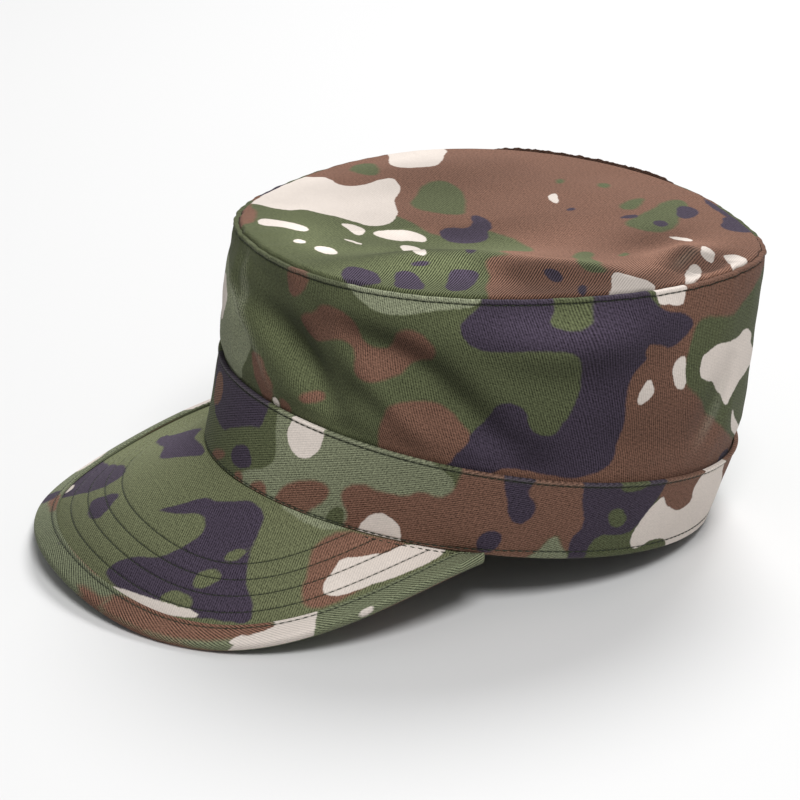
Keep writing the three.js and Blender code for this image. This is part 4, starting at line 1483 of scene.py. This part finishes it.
def painted_shade_patches(patches, across, along):
    """How much painted shade the patches give; below 0 it is painted light."""
    total = 0 * across
    for place, height, wide, long, more in patches:
        total = total + more * np.exp(-(((across - place) / wide) ** 2) - ((along - height) / long) ** 2)
    return total


def wall_wear_and_highlight(around, up):
    """The creases are rubbed paler with painted highlight along their ridges, and the rim near the front
    left.
    """
    creases = crease_sum(WALL_CREASES, around, up, WALL_LOOP)
    rim = RIM_WEAR * np.exp(-(((up - WALL_HEIGHT + RIM_WEAR_DEPTH) / RIM_WEAR_WIDTH) ** 2))
    rim = rim * np.interp(np.abs(around - RIM_WEAR_PLACE), *RIM_WEAR_SHARES)
    return np.clip(creases * WALL_CREASE_WEAR_AND_HIGHLIGHT + rim, 0, 1)


def wall_painted_light(around, up):
    """Painted light on the upper sides of the folds and painted shade on their undersides, with the wall's
    painted patches.
    """
    heights = [
        fold_sum(WALL_FOLDS, around, level, WALL_LOOP) + crease_sum(WALL_DRAPES, around, level, WALL_LOOP)
        for level in (up + 1, up - 1)
    ]
    fade_and_painted_light = (heights[1] - heights[0]) / 2 - painted_shade_patches(WALL_PAINTED_SHADE, around, up)
    return np.clip(fade_and_painted_light, -PAINTED_LIGHT_LIMIT, PAINTED_LIGHT_LIMIT)


def side_wall_piece():
    angle = crown_angles()
    shares, out, line = wall_rows(angle)
    step_gap = np.where((shares >= 0) & (shares < STEP_START + 0.005), GAP / 2, 0)
    outer = wall_point(angle, shares, step_gap - out)
    height = wall_height(angle)
    low_rows = len(WALL_LOW_ROWS)
    sparse = shares[:, low_rows + 2 : -len(WALL_RIM_ROWS) : 4]
    inner_shares = np.hstack([shares[:, :low_rows], sparse, 1 - np.array([WALL_INNER_RIM_ROWS]) / height])
    thick = np.where((1 - inner_shares) * height < WELT_INNER_DEPTH, WELT_THICKNESS, CLOTH)
    inner = wall_point(angle, inner_shares, thick)
    chart = np.stack(np.broadcast_arrays(angle * WALL_RADIUS, shares * WALL_HEIGHT), -1)
    chart_inner = np.stack(np.broadcast_arrays(angle * WALL_RADIUS, inner_shares * WALL_HEIGHT), -1)
    cloth = print_material("Wall camouflage twill", "green", pale="lens", **WALL_TWILL)
    materials = [cloth, plain_material("Back of the cloth", "lining")]
    square = outwards(SEAM, angle)
    view = sight()
    facing = np.maximum(0, square @ view)
    along = square @ np.array([-view[1], view[0], 0])
    clear = np.minimum(1, np.minimum(shares / FADE_AT_BAND, (1 - shares) / FADE_AT_RIM))
    slide = wall_relief(*np.moveaxis(chart, -1, 0)) * np.maximum(0, clear)
    slide = slide * facing / (facing**2 + SLIDE_LIMIT)
    spots = (chart - slide[..., None] * np.stack(np.broadcast_arrays(along, view[2]), -1), chart_inner)
    return sewn_piece(
        "crown_wall", outer, inner, (chart, chart_inner), materials, WALL_PRINT, line, wall_wear_and_highlight,
        loop=WALL_LOOP, spots=spots, fade_and_painted_light=wall_painted_light
    )


def top_wear_and_highlight(x, y):
    # Paler along the creases' ridges: wear with painted highlight
    ridges = np.maximum(0, crease_sum(TOP_CREASES, x, y))
    return np.clip(ridges * TOP_CREASE_WEAR_AND_HIGHLIGHT, 0, 1)


def top_painted_light(x, y):
    """Painted shade on the roll's near flank behind, where it hangs over the side, and painted light on it in
    front.
    """
    heights = [fold_sum(TOP_FOLDS, at, y) + crease_sum(TOP_DRAPES, at, y) for at in (x + 1, x - 1)]
    strength = np.interp(y, FLANK_TURNS, FLANK_STRENGTHS) * (x > 0) + (x <= 0)
    fade_and_painted_light = (heights[0] - heights[1]) / 2 * strength - painted_shade_patches(TOP_PAINTED_SHADE, x, y)
    return np.clip(fade_and_painted_light * (np.abs(x) < TOP_PAINTED_LIGHT_HALF_WIDTH), -PAINTED_LIGHT_LIMIT, PAINTED_LIGHT_LIMIT)


def top_rib_shading(x, y):
    """The ribs and their painted shade show more on the roll's near flank."""
    across = np.interp(x - RIBS_LEAN * np.abs(y - RIBS_MIDDLE), *RIBS_ACROSS)
    return across * np.interp(y, *RIBS_ALONG)


def top_panel_piece():
    angle = crown_angles()
    height = wall_height(angle)
    inset = WELT_THICKNESS + GAP
    depths = np.array([[FLANGE_DEPTH, 4, 2, 1, FLANGE_TOP_DEPTH]])
    flange = wall_point(angle, 1 - depths / height, inset)
    roll = np.linspace(0, math.pi / 2, 6)[None, 1:-1]
    base = wall_point(angle, 1 - FLANGE_TOP_DEPTH / height, inset)
    crest = top_point(angle, 1.0, 0.0)
    shoulder = base + (crest - base) * np.stack([1 - np.cos(roll), 1 - np.cos(roll), np.sin(roll)], -1)
    reaches = np.linspace(1, 0, TOP_RINGS)[None]
    sheet = top_point(angle, reaches, 0.0)
    outer = np.concatenate([flange, shoulder, sheet], 1)
    inner_flange = wall_point(angle, 1 - depths[:, [0, 2, 4]] / height, inset + CLOTH)
    inner_flange[:, -1, 2] -= CLOTH
    inner_sheet = top_point(angle, np.linspace(0.985, 0, 20)[None], CLOTH)
    inner = np.concatenate([inner_flange, inner_sheet], 1)
    cloth = print_material("Top camouflage twill", "brown", **TOP_TWILL)
    materials = [cloth, plain_material("Back of the cloth", "lining")]
    turned = flange.shape[1] + shoulder.shape[1]
    drop = np.linalg.norm(np.diff(outer[:, : turned + 1], axis=1), axis=-1)
    drop = np.cumsum(drop[:, ::-1], axis=1)[:, ::-1]
    chart = outer[..., :2].copy()
    chart[:, :turned] = crest[..., :2] + outwards(RIM, angle)[..., :2] * drop[..., None]
    charts = (chart, inner[..., :2])
    line = np.zeros(outer.shape[:2])
    view = sight()
    lift = top_relief(outer[..., 0], outer[..., 1])
    lift[:, turned:] *= 1 - reaches**DRAPE_HOLD
    lift[:, :turned] = 0
    spots = (outer[..., :2] - lift[..., None] * view[:2] / view[2], inner[..., :2])
    return sewn_piece(
        "crown_top", outer, inner, charts, materials, TOP_PRINT, line, top_wear_and_highlight,
        spots=spots, rib_shading=top_rib_shading, fade_and_painted_light=top_painted_light
    )


def fray_piece():
    """The raw seam allowance that stands up over the far rim, dark brown as painted shade of the welt's inner
    side.
    """
    turn = np.linspace(FRAY_FROM, FRAY_TO, FRAY_STATIONS)
    angle = turn[:, None] * DEGREE
    rng = np.random.default_rng(41)
    ends = np.clip(np.minimum(turn - FRAY_FROM, FRAY_TO - turn) / 6, 0, 1) ** 0.5
    teeth = np.interp(turn, np.linspace(FRAY_FROM, FRAY_TO, 60), rng.uniform(0.7, 1, 60))
    teeth = teeth * rng.uniform(0.94, 1.05, FRAY_STATIONS)
    tall = (FRAY_HEIGHT * ends * teeth)[:, None]
    sway = FRAY_SWAY_SIZE * ripples(FRAY_SWAY, angle * WALL_RADIUS)
    foot = wall_point(angle, 1.0, FRAY_INSET)
    shares = np.array([[0.0, 0.35, 0.7, 1.0]])
    outer = np.repeat(foot, 4, axis=1) + outwards(RIM, angle) * (sway * shares)[..., None]
    outer[..., 2] += -FRAY_ROOT + (tall + FRAY_ROOT) * shares
    inner = outer[:, ::3] - outwards(RIM, angle) * FRAY_THICKNESS
    reach = np.broadcast_to(angle * WALL_RADIUS, tall.shape)
    charts = tuple(np.stack(np.broadcast_arrays(reach, skin[..., 2]), -1) for skin in (outer, inner))
    materials = [plain_material("Frayed seam in painted shade", "fray")] * 2
    line = np.zeros(outer.shape[:2])
    return sewn_piece("rim_fray", outer, inner, charts, materials, {}, line, goes_round=False)


def hem_stitch_height(angle):
    """The hem's stitches run at the very edge over the visor, and rise behind it."""
    low, high = HEM_STITCH_RISES
    share = np.clip((np.abs(angle) / DEGREE - low) / (high - low), 0, 1)
    return HEM_STITCH_AT_VISOR + (HEM_STITCH_UP - HEM_STITCH_AT_VISOR) * share * share * (3 - 2 * share)


def band_wear(around, up):
    seam = BAND_WEAR * np.exp(-(((up - SEAM["height"]) / BAND_WEAR_WIDTH) ** 2))
    return seam + HEM_WEAR * np.exp(-((up / HEM_WEAR_WIDTH) ** 2)) + 0 * around


def band_painted_light(around, up):
    """Painted light: the band is painted palest over the visor's near corner."""
    middle, half_width, paler = BAND_PAINTED_LIGHT
    return paler * np.exp(-(((around - middle) / half_width) ** 2)) + 0 * up


def band_piece():
    angle = crown_angles()
    top = SEAM["height"] + BAND_LAP
    middle = np.linspace(BAND_MIDDLE_FROM, top - BAND_MIDDLE_TO, BAND_MIDDLE_ROWS)
    heights = np.concatenate([BAND_LOW_ROWS, middle, top - np.array(BAND_TOP_ROWS)])[None]
    drop = top - heights
    welt = BAND_WELT * np.clip(1 - ((drop - BAND_WELT_HEIGHT / 2) / (BAND_WELT_HEIGHT / 2)) ** 2, 0, 1) ** 0.5
    line = bump_row(drop, BAND_STITCH_DROP, SEAM_HALF_WIDTH)
    line = line + bump_row(heights, hem_stitch_height(angle), HEM_SEAM_HALF_WIDTH)
    hem_round = np.where(heights < 0.05, 0.35, np.where(heights < 0.2, 0.15, 0))
    top_round = np.where(drop < 0.02, 0.3, 0)
    around = angle * WALL_RADIUS
    uneven = crumple(BAND_CRUMPLE, around, heights, WALL_LOOP)
    uneven = uneven * np.clip(heights / 8, 0, 1) * np.clip(drop / 8, 0, 1)
    out = welt - BAND_GROOVE * line - hem_round - top_round + uneven
    outer = band_point(angle, heights / SEAM["height"], -out)
    inner_heights = np.array([[0, 1, 4, 10, 20, 28, top]])
    inner = band_point(angle, inner_heights / SEAM["height"], BAND_THICKNESS)
    chart = np.stack(np.broadcast_arrays(around, heights), -1)
    chart_inner = np.stack(np.broadcast_arrays(around, inner_heights), -1)
    cloth = print_material("Band camouflage twill", "green", **BAND_TWILL)
    materials = [cloth, plain_material("Back of the cloth", "lining")]
    return sewn_piece(
        "head_band", outer, inner, (chart, chart_inner), materials, BAND_PRINT, line, band_wear,
        loop=WALL_LOOP, fade_and_painted_light=band_painted_light
    )


def binding_reach(rulings):
    """Distances from the hem of the board's edge and the binding's inner edge."""
    edge = rulings["length"] - BINDING_THICKNESS - GAP
    inside = np.maximum(BINDING_MARGIN, rulings["length"] - BINDING_WIDTH)
    return edge, inside


def visor_painted_light(x, y):
    """Painted shade at the visor's front, which turns down, and painted light towards the band."""
    fade_and_painted_light = np.interp(y, *VISOR_PAINTED_LIGHT_ALONG) + np.interp(x, *VISOR_PAINTED_LIGHT_ACROSS)
    return np.clip(fade_and_painted_light, -PAINTED_LIGHT_LIMIT, PAINTED_LIGHT_LIMIT) * (x < UNDERSIDE_SHIFT / 2)


def binding_painted_light(along, across):
    """Painted shade at the binding's front and painted light away from it, as on the visor."""
    return np.interp(np.abs(along - BINDING_NOSE), *BINDING_PAINTED_LIGHT) + 0 * across


def visor_piece(rulings):
    edge, inside = binding_reach(rulings)
    beside = [stitch + step for stitch in VISOR_STITCH_ROWS for step in VISOR_ROWS_BESIDE]
    wanted = np.sort([*beside, *VISOR_ROWS_BETWEEN])
    rows = np.minimum(distances_from_edge(rulings, wanted), inside[:, None] - 0.4)
    grooves = sum(bump_row(wanted, stitch, SEAM_HALF_WIDTH) for stitch in VISOR_STITCH_ROWS)[None]
    puffed = sum(bump_row(wanted, stitch + VISOR_PUFF_STEP, VISOR_PUFF_WIDTH) for stitch in VISOR_STITCH_ROWS)
    under_binding = np.stack([edge, (edge + inside) / 2, inside, inside - 0.2], -1)
    distance = np.hstack([under_binding, np.maximum(rows, 0)])
    upper, _ = visor_faces(rulings, distance)
    shown = (rows > 0.3) & (rows < inside[:, None] - 0.5)
    line = np.hstack([np.zeros_like(under_binding), np.where(shown, grooves, 0)])
    relief = np.hstack([np.zeros_like(under_binding), np.where(shown, VISOR_PUFF * puffed[None], 0)])
    relief = relief - VISOR_GROOVE * line
    outer = on_ruling(rulings, distance, upper + relief)
    angle = rulings["angle"][:, None]
    flange_heights = np.array([[-GAP, 2, 5, VISOR_FLANGE_HEIGHT]])
    flange = band_point(angle, flange_heights / SEAM["height"], BAND_THICKNESS + GAP)
    outer = np.concatenate([outer, flange], 1)
    line = np.hstack([line, np.zeros(flange.shape[:2])])
    shares = np.array([[1, 0.85, 0.7, 0.5, 0.3, 0.12, 0]])
    low_distance = np.hstack([edge[:, None], (edge + inside)[:, None] / 2, inside[:, None] * shares])
    _, lower = visor_faces(rulings, low_distance)
    inner = on_ruling(rulings, low_distance, lower)
    under_heights = np.array([[-VISOR_ROOT_THICKNESS, VISOR_FLANGE_HEIGHT]])
    behind_flange = BAND_THICKNESS + GAP + VISOR_FLANGE_THICKNESS
    under_flange = band_point(angle, under_heights / SEAM["height"], behind_flange)
    inner = np.concatenate([inner, under_flange], 1)
    chart_inner = inner[..., :2] + [UNDERSIDE_SHIFT, 0]
    prints = with_underside(VISOR_PRINT)
    materials = [print_material("Visor camouflage twill", "visor_green", **VISOR_TWILL)] * 2
    charts = (outer[..., :2], chart_inner)
    return sewn_piece(
        "visor_board", outer, inner, charts, materials, prints, line, goes_round=False, fade_and_painted_light=visor_painted_light
    )


def with_underside(prints):
    """A print with the underside's blotches added, charted to the side."""

    def moved(blotch):
        if isinstance(blotch, list):
            return [(x + UNDERSIDE_SHIFT, y) for x, y in blotch]
        return (blotch[0] + UNDERSIDE_SHIFT, *blotch[1:])

    joined = {}
    for coat in COATS:
        upper = prints.get(coat, {})
        lower = UNDER_PRINT.get(coat, {}).get("blotches", [])
        joined[coat] = {
            "blotches": [*upper.get("blotches", []), *map(moved, lower)],
            "gaps": upper.get("gaps", []),
        }
    return joined


def unrolled(skin, along):
    """Chart places of a strip: the way along it, and the way across it over its folds."""
    across = np.linalg.norm(np.diff(skin, axis=1), axis=-1)
    across = np.hstack([np.zeros((len(skin), 1)), np.cumsum(across, axis=1)])
    return np.stack([np.broadcast_to(along[:, None], across.shape), across], -1)


def binding_piece(rulings):
    length = rulings["length"][:, None]
    edge, inside = binding_reach(rulings)
    edge, inside = edge[:, None], inside[:, None]
    stitch = length - BINDING_STITCH
    share = np.clip((edge - stitch) / (edge - inside), *BINDING_STITCH_LIMITS)
    legs = [0, 0.06, share - 0.1, share - 0.04, share, share + 0.04, share + 0.1, 0.95, 0.99, 1]
    legs = np.sort(np.hstack([np.broadcast_to(leg, edge.shape) for leg in legs]), 1)
    distance = edge - (edge - inside) * legs
    upper, _ = visor_faces(rulings, distance)
    line = bump_row(distance, edge - (edge - inside) * share, HEM_SEAM_HALF_WIDTH)
    dent = BINDING_DENT * line
    folded = np.where(legs > 0.98, 0.3, 0)
    height = GAP + BINDING_THICKNESS - dent - folded
    over = on_ruling(rulings, distance, upper + height)
    under_legs = np.array([[1, 0.5, 0]])
    under_distance = edge - (edge - inside) * under_legs
    _, under_lower = visor_faces(rulings, under_distance)
    under = on_ruling(rulings, under_distance, under_lower - GAP - BINDING_THICKNESS)
    turn = np.linspace(-math.pi / 2, math.pi / 2, 9)[None, 1:-1]
    radius = (upper[:, :1] - under_lower[:, -1:]) / 2 + GAP + BINDING_THICKNESS
    middle = (upper[:, :1] + under_lower[:, -1:]) / 2
    nose = on_ruling(rulings, edge + (length - edge) * np.cos(turn), middle + radius * np.sin(turn))
    outer = np.concatenate([under, nose, over], 1)
    line = np.hstack([np.zeros((line.shape[0], under.shape[1] + nose.shape[1])), line])
    inner_turn = np.array([[-math.pi / 4, 0, math.pi / 4]])
    in_radius = radius - BINDING_THICKNESS
    in_nose = on_ruling(rulings, edge + GAP * np.cos(inner_turn), middle + in_radius * np.sin(inner_turn))
    in_under = on_ruling(rulings, under_distance, under_lower - GAP)
    in_distance = edge - (edge - inside) * under_legs[:, ::-1]
    in_upper, _ = visor_faces(rulings, in_distance)
    in_over = on_ruling(rulings, in_distance, in_upper + GAP)
    inner = np.concatenate([in_under, in_nose, in_over], 1)
    spots = outer[..., :2].copy()
    spots[:, :BINDING_UNDER_ROWS, 0] += UNDERSIDE_SHIFT
    steps = np.linalg.norm(np.diff(visor_edge(rulings["turn"]), axis=0), axis=-1)
    along = np.concatenate([[0], np.cumsum(steps)])
    charts = tuple(unrolled(skin, along) for skin in (outer, inner))
    spots = (spots, inner[..., :2] + [UNDERSIDE_SHIFT, 0])
    materials = [print_material("Binding camouflage twill", "binding_green", **BINDING_TWILL)] * 2
    prints = with_underside(BINDING_PRINT)
    return sewn_piece(
        "visor_edge_binding", outer, inner, charts, materials, prints, line, goes_round=False,
        spots=spots, fade_and_painted_light=binding_painted_light
    )


def surface_rows(points):
    """A path with the normals of the crown's or band's outer face beside it."""
    path = points[:, 1]
    along = np.roll(path, -1, axis=0) - np.roll(path, 1, axis=0)
    upwards = points[:, 2] - points[:, 0]
    normal = np.cross(along, upwards)
    return path, normal / np.linalg.norm(normal, axis=-1, keepdims=True)


def colour_setting(name, description, default):
    return FloatVectorProperty(
        name=name, description=description, subtype="COLOR", size=3, min=0, max=1, default=default
    )


def length_setting(name, description, default):
    return FloatProperty(name=name, description=description, unit="LENGTH", default=default)


def amount_setting(name, description, default):
    return FloatProperty(name=name, description=description, default=default)


class CapColours(PropertyGroup):
    """Colours of the printed cloth and its thread."""

    cream: colour_setting("Cream", "The palest print", (0.66, 0.59, 0.535))
    pale: colour_setting("Pale green", "The grey-green print", (0.215, 0.232, 0.148))
    lens: colour_setting("Palest green", "The grey-green print of the wall", (0.27, 0.29, 0.19))
    green: colour_setting("Mid green", "The green print", (0.1, 0.113, 0.057))
    brown: colour_setting("Brown", "The red-brown print", (0.188, 0.099, 0.069))
    navy: colour_setting("Dark purple", "The darkest print", (0.058, 0.045, 0.067))
    visor_green: colour_setting("Visor green", "The visor's ground colour", (0.132, 0.143, 0.076))
    binding_green: colour_setting("Binding green", "The binding's ground colour", (0.165, 0.182, 0.112))
    lining: colour_setting("Back of the cloth", "The unprinted back of the cloth", (0.2, 0.185, 0.125))
    # Brown darkened by painted shade: the frayed seam also stands for the far welt's shaded inner side
    fray: colour_setting("Frayed seam in painted shade", "The raw edge at the far rim", (0.075, 0.042, 0.03))
    thread: colour_setting("Thread", "The sewing thread", (0.018, 0.022, 0.013))
    floor: colour_setting("Floor", "The studio floor", (0.74, 0.74, 0.74))


class CapSizes(PropertyGroup):
    """Sizes of the weave, the print's edges and the stitches."""

    twill_pitch: length_setting("Twill pitch", "From rib to rib of the twill", 0.85 * MM)
    twill_depth: length_setting("Twill depth", "Depth between the ribs", 0.16 * MM)
    twill_shade: amount_setting("Twill shade", "How much darker the grooves look", 1.5)
    twill_grain: amount_setting("Twill grain", "How uneven the yarns are", 1.1)
    # How strong the painted light and shade of the folds and patches are
    fold_painted_light: amount_setting("Fold painted light", "How much painted light and shade the folds get", 0.8)
    print_waver: length_setting("Print waver", "How far a blotch's edge wavers", 1.0 * MM)
    print_edge: length_setting("Print edge", "Width of a blotch's soft edge", 0.45 * MM)
    stitch_length: length_setting("Stitch length", "Length of one stitch", 2.3 * MM)
    stitch_gap: length_setting("Stitch gap", "Gap between two stitches", 0.45 * MM)
    thread_thickness: length_setting("Thread", "Thickness of the thread", 0.42 * MM)


class CAP_OT_side_wall(Operator):
    """Add the crown's side wall, with its folds, creases, welted rim and frayed far seam"""

    bl_idname = "cap.side_wall"
    bl_label = "Side wall"

    def execute(self, context):
        dress(side_wall_piece(), "wall_cloth", "side_wall")
        dress(fray_piece(), "wall_cloth")
        return {"FINISHED"}


class CAP_OT_top_panel(Operator):
    """Add the crown's domed and dented top"""

    bl_idname = "cap.top_panel"
    bl_label = "Top panel"

    def execute(self, context):
        dress(top_panel_piece(), "top_cloth", "top_panel")
        return {"FINISHED"}


class CAP_OT_band(Operator):
    """Add the head band, lapped over the wall"""

    bl_idname = "cap.band"
    bl_label = "Head band"

    def execute(self, context):
        dress(band_piece(), "band_cloth", "band")
        return {"FINISHED"}


class CAP_OT_visor(Operator):
    """Add the stitched visor and the binding round its edge"""

    bl_idname = "cap.visor"
    bl_label = "Visor"

    def execute(self, context):
        rulings = visor_rulings()
        dress(visor_piece(rulings), "visor_cloth", "visor")
        dress(binding_piece(rulings), "binding_cloth", "visor_binding")
        return {"FINISHED"}


class CAP_OT_stitching(Operator):
    """Add every row of stitches: rim, band, hem, visor and binding"""

    bl_idname = "cap.stitching"
    bl_label = "Stitching"

    def execute(self, context):
        thread = thread_material()
        angle = crown_angles()
        angle = np.vstack([angle, angle[:1] + 2 * math.pi])
        height = wall_height(angle)
        depths = RIM_STITCH_DEPTH + np.array([[BESIDE_STITCH, 0, -BESIDE_STITCH]])
        rim = wall_point(angle, 1 - depths / height, WELT_GROOVE)
        dress(stitching_piece("rim_stitching", [surface_rows(rim)], thread), "wall_cloth")
        top = SEAM["height"] + BAND_LAP
        rows = []
        for level in (top - BAND_STITCH_DROP + 0 * angle, hem_stitch_height(angle)):
            heights = level + np.array([[-BESIDE_STITCH, 0, BESIDE_STITCH]])
            rows.append(surface_rows(band_point(angle, heights / SEAM["height"], BAND_GROOVE)))
        dress(stitching_piece("band_stitching", rows, thread), "band_cloth")
        rulings = visor_rulings()
        _, inside = binding_reach(rulings)
        reaches = distances_from_edge(rulings, VISOR_STITCH_ROWS)
        root = np.full((VISOR_STATIONS, 1), ROOT_STITCH)
        upper, _ = visor_faces(rulings, root)
        path = on_ruling(rulings, root, upper)[:, 0]
        rows = []
        for side in (-1, 1):
            at_side = side * rulings["angle"] > ROOT_STITCH_FROM * DEGREE
            rows.append((path[at_side], rulings["up"][at_side]))
        for number in range(len(VISOR_STITCH_ROWS)):
            reach = reaches[:, number : number + 1]
            shown = (reach[:, 0] > 0.8) & (reach[:, 0] < inside - 0.5)
            upper, _ = visor_faces(rulings, reach)
            path = on_ruling(rulings, reach, upper - VISOR_GROOVE)[:, 0]
            rows.append((path[shown], rulings["up"][shown]))
        edge, inside = binding_reach(rulings)
        farthest, nearest = (edge - (edge - inside) * share for share in BINDING_STITCH_LIMITS)
        reach = np.clip(rulings["length"] - BINDING_STITCH, nearest, farthest)
        upper, _ = visor_faces(rulings, reach[:, None])
        lift = upper + GAP + BINDING_THICKNESS - BINDING_DENT
        rows.append((on_ruling(rulings, reach[:, None], lift)[:, 0], rulings["up"]))
        dress(stitching_piece("visor_stitching", rows, thread), "visor_cloth")
        return {"FINISHED"}


class CAP_OT_stage(Operator):
    """Set the studio: pale floor, soft light and the camera"""

    bl_idname = "cap.stage"
    bl_label = "Studio"

    def execute(self, context):
        scene = context.scene
        mesh = bpy.data.meshes.new("studio_floor")
        side = FLOOR_HALF_SIDE
        corners = [(-side, -side, 0), (side, -side, 0), (side, side, 0), (-side, side, 0)]
        mesh.from_pydata(corners, [], [(0, 1, 2, 3)])
        paper = bpy.data.materials.new("Studio paper")
        paper.use_nodes = True
        shader = paper.node_tree.nodes["Principled BSDF"]
        shader.inputs["Base Color"].default_value = rgba(scene.cap_colours.floor)
        shader.inputs["Roughness"].default_value = 0.95
        floor = put_piece("studio_floor", mesh, [paper])
        world = bpy.data.worlds.new("Studio world")
        world.use_nodes = True
        world.node_tree.nodes["Background"].inputs["Color"].default_value = (1, 1, 1, 1)
        world.node_tree.nodes["Background"].inputs["Strength"].default_value = WORLD_LIGHT
        scene.world = world
        for name, place, size, power in LIGHTS:
            lamp = bpy.data.lights.new(name, "AREA")
            lamp.shape = "DISK"
            lamp.size = size
            lamp.energy = power
            light = bpy.data.objects.new(name, lamp)
            light.location = place
            light.rotation_euler = (Vector(LIGHTS_AIM) - Vector(place)).to_track_quat("-Z", "Y").to_euler()
            scene.collection.objects.link(light)
        view = bpy.data.cameras.new("photo_camera")
        view.lens = CAMERA_LENS
        view.sensor_width = CAMERA_SENSOR
        camera = bpy.data.objects.new("photo_camera", view)
        back = Vector(to_camera())
        camera.location = (Vector(CAMERA_TARGET) + back * CAMERA_DISTANCE) * MM
        camera.rotation_euler = back.to_track_quat("Z", "Y").to_euler()
        scene.collection.objects.link(camera)
        scene.camera = camera
        scene.view_settings.view_transform = "Standard"
        return {"FINISHED"}


class CAP_PT_cap(Panel):
    """The cap's pieces in the sidebar"""

    bl_label = "Military cap"
    bl_space_type = "VIEW_3D"
    bl_region_type = "UI"
    bl_category = "Cap"

    def draw(self, context):
        column = self.layout.column()
        for maker in MAKERS:
            column.operator(maker.bl_idname)
        for settings in (context.scene.cap_colours, context.scene.cap_sizes):
            for name in type(settings).__annotations__:
                column.prop(settings, name)


MAKERS = [CAP_OT_side_wall, CAP_OT_top_panel, CAP_OT_band, CAP_OT_visor, CAP_OT_stitching, CAP_OT_stage]
CLASSES = [CapColours, CapSizes, *MAKERS, CAP_PT_cap]


def register():
    for item in CLASSES:
        bpy.utils.register_class(item)
    bpy.types.Scene.cap_colours = PointerProperty(type=CapColours)
    bpy.types.Scene.cap_sizes = PointerProperty(type=CapSizes)


def unregister():
    del bpy.types.Scene.cap_sizes
    del bpy.types.Scene.cap_colours
    for item in reversed(CLASSES):
        bpy.utils.unregister_class(item)


def main():
    register()
    bpy.ops.cap.side_wall()
    bpy.ops.cap.top_panel()
    bpy.ops.cap.band()
    bpy.ops.cap.visor()
    bpy.ops.cap.stitching()
    bpy.ops.cap.stage()


if __name__ == "__main__":
    main()
